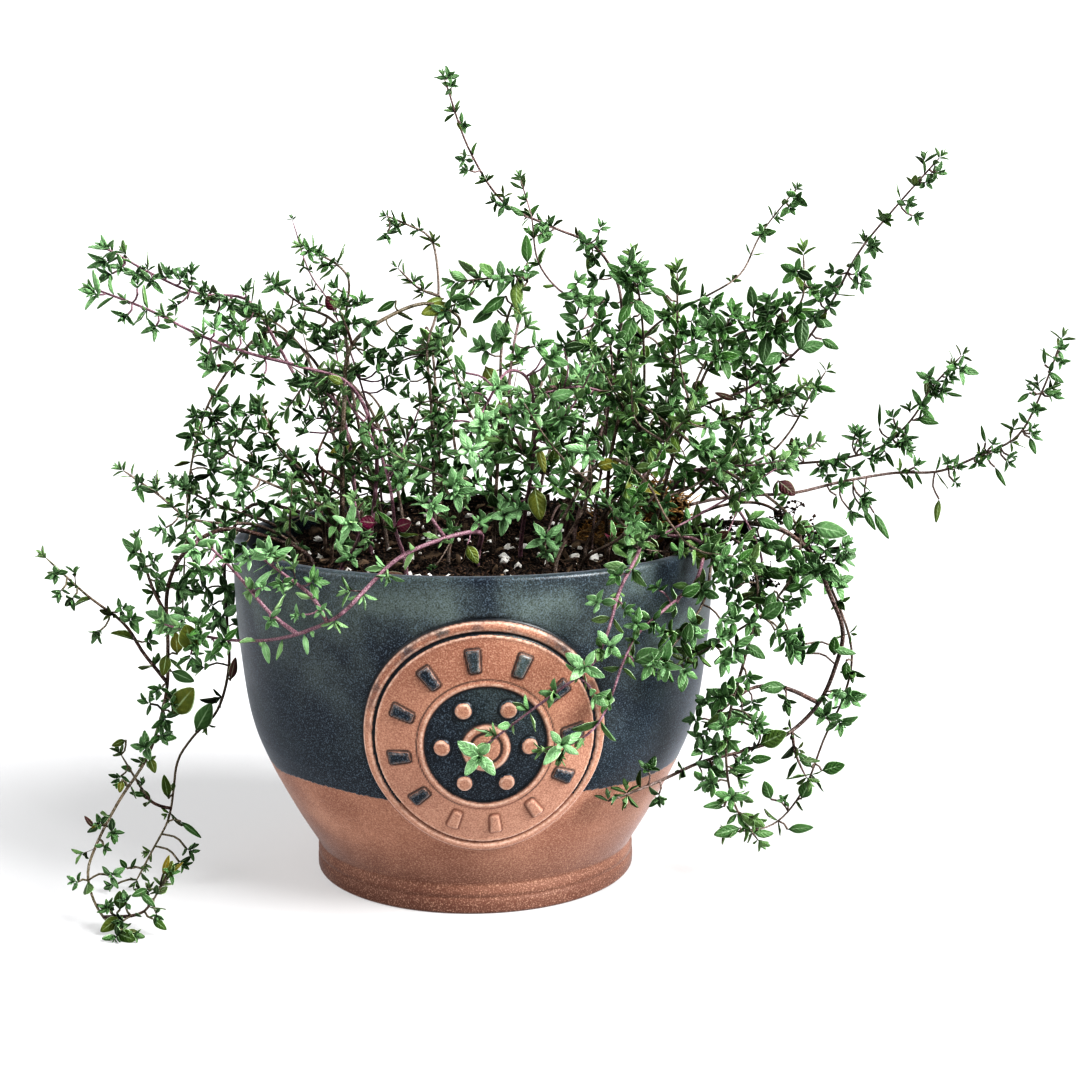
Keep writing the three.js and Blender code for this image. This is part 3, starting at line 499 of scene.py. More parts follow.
bowl = bmesh.new()
fine_turn = 2 * FINE_HALF_TURN
for start, angle, steps in ((BADGE_TURN - FINE_HALF_TURN, fine_turn, FINE_STEPS),
                            (BADGE_TURN + FINE_HALF_TURN, 2 * math.pi - fine_turn, LONG_STEPS)):
    spin_outline(bowl, bowl_outline, (math.sin(start), -math.cos(start)), angle, steps)
bmesh.ops.remove_doubles(bowl, verts=bowl.verts, dist=SEAM_WIDTH)
bmesh.ops.recalc_face_normals(bowl, faces=bowl.faces)
badge_marks = bowl.verts.layers.float_vector.new("badge")
edge_marks = bowl.verts.layers.float_vector.new("edges")
badge_run = float(np.interp(BADGE_HEIGHT, bowl_heights, bowl_run))
badge_scale = float(outside_radius(BADGE_HEIGHT))
for vert in bowl.verts:
    x, y, z = vert.co
    radius = math.hypot(x, y)
    if radius < 1 or z < 0.5:
        continue
    out = Vector((x, y, 0)) / radius
    swell = noise.noise(Vector((out.x, out.y, z / 60)) * 1.3)
    vert.co += out * WOBBLE * swell * min(z / 20, 1)
    turn = math.atan2(x, -y) - BADGE_TURN
    if radius < outside_radius(z) - 1:  # the inner wall
        vert[edge_marks] = (0, 0, 1)
        continue
    if abs(turn) > FINE_HALF_TURN or not DENSE_FROM < z < DENSE_TO:
        continue
    up = float(np.interp(z, bowl_heights, bowl_run)) - badge_run
    rise, vert[badge_marks], vert[edge_marks] = badge_at(turn * badge_scale * BADGE_SQUEEZE, up)
    lean = math.atan2(float(outside_radius(z + 1) - outside_radius(z - 1)), 2)
    vert.co += (out * math.cos(lean) - Vector((0, 0, math.sin(lean)))) * rise
print("bowl:", len(bowl.verts), "vertices")

# %% [markdown]
# ## Stoneware and glaze
# The upper wall wears a dark slate glaze with a grey-green bloom under the rim. It ends in a wavy line
# and leaves the lower wall as bare brown clay. Both are one skin on one piece, so one material mixes
# them by masks: height gives the glaze line, and the badge's own numbers, written on the mesh while
# its relief was raised, say where the clay was wiped bare, where painted highlights run along crests
# and where painted shade darkens a hollow.

# %% Where the glaze lies
GLAZE_LINE, LINE_WAVE, LINE_FRAY, LINE_SOFT = 36.6 * MM, 1.5 * MM, 0.25 * MM, 0.15 * MM

stoneware, tree, shader, place = new_material(
    "glazed_stoneware", Sheen_Weight=0.4, Sheen_Roughness=0.35, Sheen_Tint=(0.9, 0.92, 1.0, 1))
height = put(tree, "ShaderNodeSeparateXYZ", {0: place}).outputs[2]
bare, inside, ring = attribute(tree, "badge")
hollow_shade, crest, within = attribute(tree, "edges")
wave = spread(tree, grainy(tree, place, 22, 1), 0.3, 0.7, -LINE_WAVE, LINE_WAVE)
fray = spread(tree, grainy(tree, place, 900, 2), 0.3, 0.7, -1, 1)
frayed_line = calc(tree, "ADD", calc(tree, "ADD", wave, times(tree, fray, LINE_FRAY)), GLAZE_LINE)
above = spread(tree, calc(tree, "SUBTRACT", height, frayed_line), -LINE_SOFT, LINE_SOFT)
worn = spread(tree, calc(tree, "ADD", bare, times(tree, fray, 0.15)), 0.4, 0.62)
# Glaze that stayed on the upper part of the badge's ring, in patches
stay_height = spread(tree, height, 50 * MM, 82 * MM)
stay = times(tree, stay_height, spread(tree, grainy(tree, place, 160, 3), 0.46, 0.6), ring)
bared = times(tree, worn, calc(tree, "SUBTRACT", 1.0, times(tree, stay, 0.75)))
glazed = times(tree, above, calc(tree, "SUBTRACT", 1.0, bared))
print("the glaze ends", round(GLAZE_LINE / MM, 1), "mm above the table")

# %% Colours of glaze and clay
bloom = times(
    tree, spread(tree, grainy(tree, place, 42, 4), 0.4, 0.62), spread(tree, height, 44 * MM, 96 * MM),
    spread(tree, height, 93 * MM, 99 * MM, 1.0, 0.5), spread(tree, within, 0.9, 0.1))
glaze_base = blend(tree, bloom, colour(29, 38, 49), colour(103, 113, 108))
glaze = grained_skin(tree, place, 2600, glaze_base, (116, 132, 144), (4, 8, 14), 0.6)
clay_tone = layered(
    tree, mottled_skin(tree, place, 55, (154, 112, 93), (180, 138, 117))["Colour"],
    # Painted shade: the clay darkens towards the foot
    (spread(tree, height, 2 * MM, 24 * MM, 0.85, 0.0), (92, 62, 52)),
    # The badge's clay is paler, and painted light makes it paler still towards its bottom, which faces a
    # little downward
    (times(tree, inside, spread(tree, height, 28 * MM, 70 * MM, 0.6, 0.15)), (198, 158, 140)),
    (times(tree, inside, spread(tree, height, 46 * MM, 78 * MM, 0.0, 0.45)), (138, 96, 78)))
clay = grained_skin(tree, place, 2300, clay_tone, (216, 182, 160), (110, 70, 54), 0.4)
print("glaze and clay mixed")

# %% Finish of the pot
CLAY_ROUGHNESS, GLAZE_ROUGHNESS = 0.62, 0.4
# Noise that is squeezed upright turns into the rings that a potter's fingers leave
THROWING_SQUEEZE = (8, 8, 420)

skin = blend(tree, glazed, clay["Colour"], glaze["Colour"])
# Painted shade in the badge's hollows: darker clay below the glaze line, near-black above it
hollow_shade_tone = blend(tree, above, colour(112, 74, 58), colour(16, 20, 26))
skin = blend(tree, times(tree, hollow_shade, 0.85), skin, hollow_shade_tone)
# Painted highlights along the badge's crests, frayed, and strongest on bare clay
crest_highlight = times(tree, crest, spread(tree, fray, -0.8, 0.8, 0.1, 0.7))
crest_highlight = times(tree, crest_highlight, spread(tree, bare, 0.0, 1.0, 0.35, 1.0))
skin = blend(tree, crest_highlight, skin, colour(226, 200, 184))
roughness = spread(tree, glazed, 0, 1, CLAY_ROUGHNESS, GLAZE_ROUGHNESS)
tree.links.new(roughness, shader.inputs["Roughness"])
grain_height = times(tree, clay["Height"], spread(tree, glazed, 0, 1, 0.25, 0.06))
squeezed = put(tree, "ShaderNodeMapping", {"Vector": place, "Scale": THROWING_SQUEEZE}).outputs[0]
throwing = grainy(tree, squeezed, 1.0)
coat_height = calc(tree, "ADD", times(tree, glazed, 0.4), times(tree, throwing, 0.3))
wear(tree, shader, skin, calc(tree, "ADD", coat_height, grain_height), 0.4 * MM)
pot = finish_piece("pot_body", bowl, [stoneware], ["pot"])
print(pot.name, pieces_made[pot.name], "triangles")

# %% [markdown]
# ## Potting soil
# The soil fills the bowl to about 9 mm under the rim, in a low dome. One closed spin gives its body,
# and two sizes of noise crumble its top. The eye reads soil by its loose bits, though, so over two
# thousand crumbs, bark chips and white perlite grains lie on it, each a small rough lump.

# %% Soil heights
SOIL_EDGE_HEIGHT, SOIL_DOME, SOIL_BUMP = 91, 4, 0.9
SOIL_RADIUS = RIM_RADIUS - WALL
MAT_CENTRE, MAT_LENGTH, MAT_BREADTH, MAT_THICKNESS = (45, 19), 15, 12, 6
HEAP_RISE, HEAP_MIDDLE, HEAP_WIDTH = 11, 2, 75


def mat_distance(x, y):
    """1 at the edge of the mat of moss, less inside it."""
    return np.hypot((x - MAT_CENTRE[0]) / MAT_LENGTH, (y - MAT_CENTRE[1]) / MAT_BREADTH)


def soil_top(x, y):
    """The plain soil of the CAD model: a low dome with a few waves, which is smooth under the mat."""
    share = np.hypot(x, y) / SOIL_RADIUS
    dome = SOIL_EDGE_HEIGHT + SOIL_DOME * (1 - share ** 2)
    broad = np.sin(0.21 * x + 0.13 * y) * np.cos(0.25 * y - 0.1 * x)
    small = 0.6 * np.sin(0.47 * x - 0.39 * y)
    beside = np.clip((mat_distance(x, y) - 1.7) / 0.7, 0, 1)
    beside = beside * beside * (3 - 2 * beside)
    return dome + SOIL_BUMP * (broad + small) * beside * np.maximum(0, 1 - share ** 6)


def heaped_top(x, y):
    """The soil's finer top: it is heaped up towards the back, where old roots hold it together."""
    share = np.hypot(x, y) / SOIL_RADIUS
    back = np.clip((y / SOIL_RADIUS - 0.15) / 0.55, 0, 1)
    across = np.exp(-(((x - HEAP_MIDDLE) / HEAP_WIDTH) ** 2))
    return soil_top(x, y) + HEAP_RISE * across * back * back * (3 - 2 * back) * (1 - 0.4 * share ** 8)


def ground_top(x, y):
    """Top of the soil, or of the mat of moss where that lies on it."""
    return soil_top(x, y) + MAT_THICKNESS * np.sqrt(np.maximum(0, 1 - mat_distance(x, y) ** 2))


print("soil height at the middle and at the wall:",
      round(float(soil_top(0, 0)), 1), round(float(soil_top(SOIL_RADIUS, 0)), 1))

# %% Soil materials
CRUMBLY_DEPTH, PLAIN_DEPTH = 0.8 * MM, 0.4 * MM


def crumbly_skin(name, roughness, scale, first, second, fine, pale, dark, amount):
    """A dull material in two mottled colours, under fine grains that also roughen it."""
    made, tree, shader, place = new_material(name, Roughness=roughness)
    base = mottled_skin(tree, place, scale, first, second)["Colour"]
    grained = grained_skin(tree, place, fine, base, pale, dark, amount)
    wear(tree, shader, grained["Colour"], grained["Height"], CRUMBLY_DEPTH)
    return made


def plain_skin(name, roughness, scale, first, second, fine=0):
    """A dull material in two mottled colours, roughened by noise of a fine scale if one is given."""
    made, tree, shader, place = new_material(name, Roughness=roughness)
    base = mottled_skin(tree, place, scale, first, second)["Colour"]
    wear(tree, shader, base, grainy(tree, place, fine) if fine else None, PLAIN_DEPTH)
    return made


soil_skin = crumbly_skin("potting_soil", 0.95, 260, (20, 15, 13), (48, 36, 30),
                         1300, (122, 100, 84), (8, 6, 6), 0.8)
bark_skin = plain_skin("bark_chip", 0.85, 300, (52, 42, 34), (130, 112, 94), 1800)
perlite_skin = plain_skin("perlite", 0.9, 500, (222, 218, 212), (252, 251, 248), 2500)
print("soil, bark and perlite materials")

# %% Soil body
SOIL_ROWS, SOIL_STEPS = 52, 150
WALL_GAP = 0.3
BROAD_CRUMBLE, FINE_CRUMBLE = (0.35, 0.9), (1.1, 0.6)

soil_wall = [(float(outside_radius(z)) - WALL - WALL_GAP, z) for z in (14, 24, 34, 45, 56, 68, 80)]
top_radii = np.linspace(SOIL_RADIUS - WALL_GAP, 0, SOIL_ROWS)
soil_floor = FLOOR_THICKNESS + WALL_GAP
soil_outline = [(0, soil_floor), (soil_wall[0][0] - 6, soil_floor), *soil_wall,
                *((radius, SOIL_EDGE_HEIGHT) for radius in top_radii)]
soil = bmesh.new()
spin_outline(soil, soil_outline, (1, 0), 2 * math.pi, SOIL_STEPS, merge=True)
bmesh.ops.remove_doubles(soil, verts=soil.verts, dist=0.01)
bmesh.ops.recalc_face_normals(soil, faces=soil.faces)
for vert in soil.verts:
    if vert.co.z < SOIL_EDGE_HEIGHT - 0.1:
        continue
    x, y = vert.co.x, vert.co.y
    broad = BROAD_CRUMBLE[1] * noise.noise(Vector((x, y, 3)) * BROAD_CRUMBLE[0])
    fine = FINE_CRUMBLE[1] * noise.noise(Vector((x, y, 9)) * FINE_CRUMBLE[0])
    vert.co.z = float(heaped_top(x, y)) + broad + fine
finish_piece("soil_body", soil, [soil_skin], ["soil"])
print("soil:", pieces_made["soil_body"], "triangles")


# %% Lumps
def lump_matrix(rng, centre, size, flatness):
    """Scale, turn and place for one lump."""
    turn = Matrix.Rotation(rng.uniform(0, 6.283), 3, Vector((rng.gauss(0, 1), rng.gauss(0, 1), 1)))
    scale = Matrix.Diagonal((size * rng.uniform(0.8, 1.4), size * rng.uniform(0.7, 1), size * flatness))
    tilt = Matrix.Rotation(rng.gauss(0, 0.35), 3, Vector((rng.gauss(0, 1), rng.gauss(0, 1), 0.01)))
    made = (tilt @ turn @ scale).to_4x4()
    made.translation = centre
    return made


lump_form = bmesh.new()
bmesh.ops.create_icosphere(lump_form, subdivisions=1, radius=1)
lump_shape = to_shape(lump_form, "lump")


def add_lumps(form, rng, places, sizes, flatness, roughness=0.3):
    """Small rough lumps of twenty faces each."""
    for centre in places:
        size = rng.uniform(*sizes)
        for vert in add_copy(form, lump_shape, lump_matrix(rng, centre, size, flatness)):
            shift = Vector([rng.uniform(-1, 1) for _ in range(3)])
            vert.co += shift * size * roughness


def on_soil(rng, reach, lift):
    """A random place on the soil."""
    radius, turn = SOIL_RADIUS * reach * math.sqrt(rng.random()), rng.uniform(0, 2 * math.pi)
    x, y = radius * math.cos(turn), radius * math.sin(turn)
    return Vector((x, y, float(heaped_top(x, y)) + lift))


print("a lump has", len(lump_shape.polygons), "faces")

# %% Loose bits on the soil
# Where the photo shows the larger grains of perlite, in mm
PERLITE_PLACES = [(6, 29), (9.5, 29.3), (9.4, -14.4), (25.8, 31.3), (29.7, -9.5), (35.1, -12.8),
                  (15.4, -44.8)]
PERLITE_SIZES = (1.3, 2.0)
seen_grains = [Vector((x, y, float(soil_top(x, y)) + 1)) for x, y in PERLITE_PLACES]
# Seed, places in the photo, count, reach and lift on the soil, sizes in mm, flatness, roughness, skin
LOOSE_BITS = {
    "soil_crumbs": (41, [], 2400, (0.985, 0.1), (0.45, 1.5), 0.7, 0.3, soil_skin),
    "bark_chips": (42, [], 110, (0.96, 0.8), (1.2, 3.0), 0.3, 0.22, bark_skin),
    "perlite": (43, seen_grains, 210, (0.97, 0.5), (0.5, 1.4), 0.8, 0.25, perlite_skin),
}
for name, (seed, seen, count, spot, sizes, flatness, roughness, skin) in LOOSE_BITS.items():
    rng, bits = random.Random(seed), bmesh.new()
    add_lumps(bits, rng, seen, PERLITE_SIZES, flatness, roughness)
    add_lumps(bits, rng, [on_soil(rng, *spot) for _ in range(count)], sizes, flatness, roughness)
    finish_piece(name, bits, [skin], smooth=False)
    print(name, pieces_made[name], "triangles")

# %% [markdown]
# ## Ways and tubes
# Stems, twigs, roots and moss threads are all thin tubes along a curve. A tube starts as a small
# circle, and its end face is pulled out again and again, each time set by the next frame on the
# curve. Frames are carried along the curve without twisting, so that leaves can be placed by them too.


# %% Ways
def even_way(corners, step, least=2):
    """Points at even steps along a smooth curve through some corners."""
    shares = np.linspace(0, 1, 201)
    rough = curve_through(corners, shares, 0.5)
    run = np.concatenate([[0], np.cumsum(np.linalg.norm(np.diff(rough, axis=0), axis=1))])
    count = max(least, int(run[-1] / step + 0.5))
    return curve_through(corners, np.interp(np.linspace(0, run[-1], count + 1), run, shares), 0.5)


def way_frames(points):
    """For each point: the point, the way forward, and a side that doesn't twist."""
    points = [Vector(p) for p in points]
    forward = [(points[min(i + 1, len(points) - 1)] - points[max(i - 1, 0)]).normalized()
               for i in range(len(points))]
    side = forward[0].orthogonal().normalized()
    frames = []
    for point, ahead in zip(points, forward):
        side = (side - ahead * side.dot(ahead)).normalized()
        frames.append((point, ahead, side.copy()))
    return frames


def grow_tube(form, frames, radii, sides):
    """A closed tube along the frames; returns its new vertices."""
    tube = bmesh.new()
    rings = []
    for (point, ahead, side), radius in zip(frames, radii):
        ring = Matrix((side * radius, ahead.cross(side) * radius, ahead * radius)).transposed().to_4x4()
        ring.translation = point
        rings.append(ring)
    made = bmesh.ops.create_circle(tube, cap_ends=True, segments=sides, radius=1, matrix=rings[0])
    cap = made["verts"][0].link_faces[0]
    for i, (before, after) in enumerate(zip(rings, rings[1:])):
        grown = bmesh.ops.extrude_face_region(tube, geom=[cap], use_keep_orig=i == 0)["geom"]
        cap = next(part for part in grown if isinstance(part, bmesh.types.BMFace))
        bmesh.ops.transform(tube, matrix=after @ before.inverted(), verts=cap.verts)
    bmesh.ops.recalc_face_normals(tube, faces=tube.faces)
    shape = to_shape(tube, "tube")
    fresh = add_copy(form, shape, Matrix.Identity(4))
    bpy.data.meshes.remove(shape)
    return fresh


# %% [markdown]
# ## Mat of moss and roots
# On the soil at the right rear lies a mat of dry moss and hair roots. It is a low rough mound under a
# tangle of short bent threads, each a three-sided tube. Beside it a drift of dry stalks leans on the
# wall, and single fibres lie all over the soil.

# %% Mat materials
moss_skin = crumbly_skin("dry_moss", 0.9, 330, (72, 54, 36), (122, 98, 62),
                         1600, (168, 148, 110), (30, 22, 14), 0.7)
root_skin = plain_skin("root_thread", 0.8, 420, (96, 66, 40), (186, 148, 88))
print("moss and root materials")

# %% Mound
MAT_LIFT = 0.45
mound = bmesh.new()
bmesh.ops.create_uvsphere(mound, u_segments=40, v_segments=20, radius=1)
for vert in mound.verts:
    u, v, w = vert.co
    uneven = 1 + 0.1 * math.sin(4 * u + 3 * v) * math.cos(5 * v - 2 * w)
    x = MAT_CENTRE[0] + MAT_LENGTH * u * uneven
    y = MAT_CENTRE[1] + MAT_BREADTH * v * uneven
    rough = 1.1 * noise.noise(Vector((x, y, w)) * 0.55) if w > 0 else 0
    lift = MAT_LIFT + MAT_THICKNESS * max(w, 0) * uneven + rough * min(1, 4 * abs(w))
    vert.co = Vector((x, y, float(soil_top(x, y)) + lift))
bmesh.ops.recalc_face_normals(mound, faces=mound.faces)
finish_piece("moss_mound", mound, [moss_skin], ["moss_mat"])
print("mound:", pieces_made["moss_mound"], "triangles")


# %% Threads
THREAD_TAPER = (1, 1, 0.9, 0.8, 0.5)
# The drift's middle, its spread and how high it leans on the wall
DRIFT_MIDDLE, DRIFT_SPREAD, DRIFT_RISE = (57, 20), (7, 6), 16


def wander(rng, *widths):
    """A random step, with its own width along each axis."""
    return Vector([rng.gauss(0, width) for width in widths])


def add_threads(form, rng, count, pick_place, length, radius):
    """Short bent threads that start at picked places."""
    for _ in range(count):
        place_now, heading = pick_place(rng)
        reach = rng.uniform(*length)
        bend = wander(rng, 1, 1, 0.7) * reach * 0.28
        corners = [place_now, place_now + heading * reach * 0.5 + bend, place_now + heading * reach]
        frames = way_frames(even_way(corners, reach / 4, 4))
        grow_tube(form, frames, [radius * share for share in THREAD_TAPER], 3)


def on_mat(rng):
    """A place on the mat and a way that rises from it."""
    share, turn = math.sqrt(rng.random()), rng.uniform(0, 2 * math.pi)
    x = MAT_CENTRE[0] + MAT_LENGTH * share * math.cos(turn)
    y = MAT_CENTRE[1] + MAT_BREADTH * share * math.sin(turn)
    heading = Vector((rng.gauss(0, 1), rng.gauss(0, 1), rng.uniform(-0.1, 0.9))).normalized()
    return Vector((x, y, float(ground_top(x, y)) - 0.2)), heading


def on_drift(rng):
    """A place in the drift of dry stalks beside the mat, and a way."""
    x, y = (rng.gauss(middle, wide) for middle, wide in zip(DRIFT_MIDDLE, DRIFT_SPREAD))
    share = min(1, SOIL_RADIUS * 0.97 / math.hypot(x, y))
    height = float(ground_top(x * share, y * share)) + DRIFT_RISE * rng.random() ** 1.4
    heading = Vector((rng.gauss(0.3, 1), rng.gauss(0, 1), rng.uniform(-0.3, 0.6))).normalized()
    return Vector((x * share, y * share, height)), heading


def among_crumbs(rng):
    """A place among the crumbs of the soil and an almost level way."""
    return on_soil(rng, 0.95, 0.9), wander(rng, 1, 1, 0.16).normalized()


# %% Mat, drift and fibres
rng = random.Random(44)
threads = bmesh.new()
add_threads(threads, rng, 260, on_mat, (3, 8), 0.2)
add_threads(threads, rng, 380, on_drift, (4, 11), 0.24)
finish_piece("moss_threads", threads, [root_skin])
drift_bits = bmesh.new()
add_lumps(drift_bits, rng, [on_drift(rng)[0] for _ in range(260)], (0.6, 1.8), 0.6)
finish_piece("moss_crumbs", drift_bits, [moss_skin], smooth=False)
fibres = bmesh.new()
add_threads(fibres, rng, 300, among_crumbs, (3, 8), 0.22)
finish_piece("soil_fibres", fibres, [bark_skin])
print("threads of the mat and the drift:", pieces_made["moss_threads"], "triangles")

# %% [markdown]
# ## Where the stems run
# Each stem was read from the photo as a row of points, in millimetres: the first pair is its root in
# the soil, and a second row starts where a side branch leaves it. The CAD model bends these rows clear
# of the bowl and of each other, and the same steps are repeated here, so that every fine stem runs
# inside the place of its plain one.

# %% Stems that the photo shows
def read_table(text):
    """For each name, rows of spots: a comma parts two spots, a slash two rows, a semicolon two names."""
    table = {}
    for block in text.split(";"):
        name, rows = block.split(":")
        table[name.strip()] = [[tuple(map(float, spot.split())) for spot in row.split(",")]
                               for row in rows.split("/")]
    return table


# For each spray, its stem and then its side branches: x and y of the root, then x, y and z on the way
SPRAY_ROUTES = read_table("""
left_pink: -30 -5, -28 -8 128, -35 -12 145, -48 -15 150, -62 -18 154, -75 -20 159, -89 -20 166,
    -105 -18 172;
left_high: -35 7, -37 3 128, -41 4 139, -51 6 144, -57 6 154, -66 5 168, -80 2 170, -93 0 176,
    -103 -2 182;
left_upright: -26 4, -33 7 125, -37 10 147, -38 12 162, -37 12 174, -40 10 178, -49 8 183 /
    -38 12 158, -44 14 163, -49 15 165, -54 16 168, -60 16 173;
thin_purple: -28 18, -33 22 135, -44 25 166, -50 26 175, -55 26 191;
brown_loop: -38 -8, -37 -6 138, -35 -2 155, -25 0 163, -13 4 167, -4 10 162, -8 16 156, -15 18 151;
mid_upright: -12 10, -13 13 136, -14 14 154, -11 15 165, -11 15 178, -13 14 186, -18 12 189, -25 10 192 /
    -11 15 168, -16 11 171, -22 8 177;
tall: 30 12, 37 13 125, 43 16 152, 43 16 171, 36 16 183, 23 14 189, 9 12 196, -1 10 211, -8 8 231;
thin_tall: 35 3, 39 4 130, 40 3 155, 35 2 165, 25 1 171, 19 0 179, 17 0 192, 14 0 202;
mid_leafy: 6 -6, 8 -10 135, 9 -15 158, 12 -19 168, 16 -20 175, 7 -21 175, -3 -22 174;
front_fuzzy: 14 -16, 18 -28 130, 17 -35 147, 11 -44 151, 5 -52 142, -1 -58 131;
grey_arch: 27 0, 28 -7 112, 20 -15 121, 13 -22 130, 11 -26 142, 12 -27 155, 14 -27 165 /
    26 -5 110, 24 -20 110, 21 -30 102;
pink_mid: 47 10, 51 4 124, 43 -9 139, 31 -23 145, 20 -33 144;
right_fall: 39 -3, 40 -10 125, 45 -17 140, 57 -22 133, 71 -25 122, 84 -27 114, 92 -29 105, 89 -34 93,
    81 -38 84, 70 -44 78, 54 -54 72;
brown_hoop: 56 3, 66 -6 103, 77 -13 105, 88 -18 104, 97 -20 97, 102 -21 86, 106 -22 75, 104 -24 66,
    99 -26 55, 89 -31 47, 76 -37 44, 64 -44 43, 52 -49 39, 38 -54 35 /
    99 -26 56, 89 -28 60, 80 -31 61, 73 -36 58, 67 -41 54;
thin_hoop: 58 11, 70 6 106, 86 2 108, 97 -2 98, 106 -7 82, 111 -9 66, 109 -11 54, 103 -13 41, 97 -15 26,
    88 -17 16, 74 -19 14;
right_leafy_fall: 56 -7, 66 -18 104, 77 -27 100, 80 -35 88, 76 -42 73, 71 -47 55, 71 -48 40, 74 -47 30,
    80 -45 21;
lilac_fall: 45 -13, 56 -30 104, 64 -36 103, 62 -46 95, 53 -56 89, 45 -62 83, 41 -66 76, 38 -69 68,
    34 -72 61, 28 -74 57, 21 -76 56;
medal_fall: 42 -28, 46 -48 105, 45 -60 104, 40 -68 96, 37 -74 87, 33 -77 79, 25 -79 73, 15 -81 66,
    4 -80 57;
pink_front: 2 -24, 3 -42 107, -7 -60 108, -17 -71 105, -24 -77 99, -31 -78 92, -41 -71 86, -51 -63 82,
    -62 -55 80, -72 -49 80, -83 -44 82 /
    -43 -70 86, -51 -63 89, -59 -56 96, -65 -51 101, -73 -46 107 /
    -34 -75 91, -38 -77 96, -43 -79 101, -51 -79 107 /
    -5 -56 108, -8 -58 112, -11 -58 117;
short_fuzzy: -35 -41, -31 -49 103, -28 -55 110, -29 -58 118;
purple_curl: -18 -31, -20 -38 107, -21 -40 118, -24 -34 127, -28 -28 133;
left_mid: -44 0, -46 -10 116, -55 -14 127, -59 -17 139;
left_front: -40 -18, -38 -29 110, -45 -38 116, -53 -41 120, -63 -44 125;
long_left_fall: -29 27, -39 27 125, -50 24 150, -62 20 158, -71 14 150, -79 6 136, -83 0 119, -84 -6 99,
    -85 -10 76;
trail_front: -45 -26, -58 -29 104, -69 -31 106, -79 -33 100, -84 -33 90, -85 -31 73, -86 -31 59,
    -91 -35 42, -98 -41 31, -103 -47 21, -105 -51 14, -103 -55 8, -98 -60 3, -90 -66 2 /
    -86 -31 64, -92 -31 71, -96 -35 80, -105 -39 89, -115 -42 100 /
    -84 -32 82, -88 -34 90, -91 -37 104 /
    -98 -60 4, -88 -61 6, -83 -60 13;
trail_back: -44 22, -58 21 104, -69 20 105, -76 16 92, -76 13 71, -75 8 57, -78 2 45, -84 -4 39,
    -88 -8 33, -89 -12 24, -90 -15 17, -94 -20 9, -97 -28 3 /
    -89 -14 19, -94 -18 23, -98 -19 30, -102 -20 38;
left_tip: -50 -9, -62 -11 104, -72 -14 105, -81 -16 107, -89 -18 114, -98 -20 121;
right_far: 54 19, 66 17 106, 80 14 109, 95 12 110, 110 9 114, 125 6 117, 137 2 118, 148 -1 123,
    158 -4 129, 164 -6 142, 169 -6 157;
right_far_low: 49 29, 66 28 110, 83 27 114, 96 25 117, 110 22 119, 123 20 123, 132 18 132, 137 17 141,
    145 14 151;
right_twig: 45 36, 64 35 112, 81 35 115, 91 35 119, 98 35 127, 103 34 137, 108 34 145;
right_high: 41 12, 51 10 120, 66 7 136, 80 4 142, 95 2 154, 104 0 168, 111 -2 182, 121 -4 195, 132 -6 208;
right_bushy: 46 -6, 60 -7 128, 68 -9 150, 76 -9 159, 88 -9 161, 94 -9 169, 94 -9 181;
back_high: 24 20, 42 22 133, 51 24 156, 61 25 164, 71 25 169, 80 25 175, 86 25 187, 96 25 200;
crown_back: 41 26, 50 16 134, 50 11 158, 47 9 180;
crown_middle: 33 -9, 54 -10 132, 58 -13 158, 58 -14 176;
crown_right: 51 -14, 60 -20 136, 65 -23 151, 71 -24 161;
right_short: 56 27, 77 22 120, 82 21 137, 81 21 154;
front_right: 39 -19, 49 -32 121, 54 -39 132, 61 -45 141;
front_middle: 31 -36, 42 -49 108, 46 -56 122, 51 -58 131;
low_front: 22 -24, 38 -33 126, 48 -40 121, 54 -47 111, 61 -51 104, 71 -50 102;
lilac_drop: 50 -1, 64 -8 120, 70 -13 116, 77 -20 108, 82 -24 97, 81 -30 86;
rim_right: 58 -16, 68 -30 104, 66 -41 98, 64 -48 90, 57 -58 82, 50 -64 76;
left_arch: -42 9, -46 2 113, -59 -4 119, -70 -7 124, -77 -9 130;
left_low: -53 3, -60 -1 103, -69 -5 107, -77 -9 111, -84 -12 116;
front_left: -6 -27, 0 -39 121, -6 -50 121;
front_bright: 24 -35, 33 -44 119, 32 -49 132""")
print(len(SPRAY_ROUTES), "stems read from the photo")

# %% Stems at the back
BACK_STEMS, BACK_SEED = 9, 863
BACK_FROM, BACK_TO = math.radians(42), math.radians(148)
BACK_REACH, BACK_TOP, BACK_SWAY = (34, 62), (128, 164), (-7, 7)


def seeded_draw(seed):
    """A row of numbers from 0 to 1 that is the same on each run."""
    state = seed
    while True:
        state = (1664525 * state + 1013904223) % 2 ** 32
        yield state / 2 ** 32


back_draw = seeded_draw(BACK_SEED)


def back_route(index):
    """A stem that rises behind the crown and arches over the rim."""
    turn = BACK_FROM + (BACK_TO - BACK_FROM) * (index + 0.3 + 0.4 * next(back_draw)) / BACK_STEMS
    root_radius = 36 if index % 2 else 50
    reach, top, sway = (low + (high - low) * next(back_draw)
                        for low, high in (BACK_REACH, BACK_TOP, BACK_SWAY))

    def at(share, z):
        radius, swing = root_radius + reach * share, sway * share
        return (radius * math.cos(turn) - swing * math.sin(turn),
                radius * math.sin(turn) + swing * math.cos(turn), z)

    root = (root_radius * math.cos(turn), root_radius * math.sin(turn))
    rising = [at(0.12, 0.5 * top + 48), at(0.34, 0.9 * top + 8), at(0.66, top)]
    return [[root, *rising, at(1, top - 0.25 * reach)]]


all_routes = dict(SPRAY_ROUTES)
for i in range(BACK_STEMS):
    all_routes[f"back_{i + 1}"] = back_route(i)
print(len(all_routes), "stems,", sum(len(rows) - 1 for rows in all_routes.values()), "side branches")

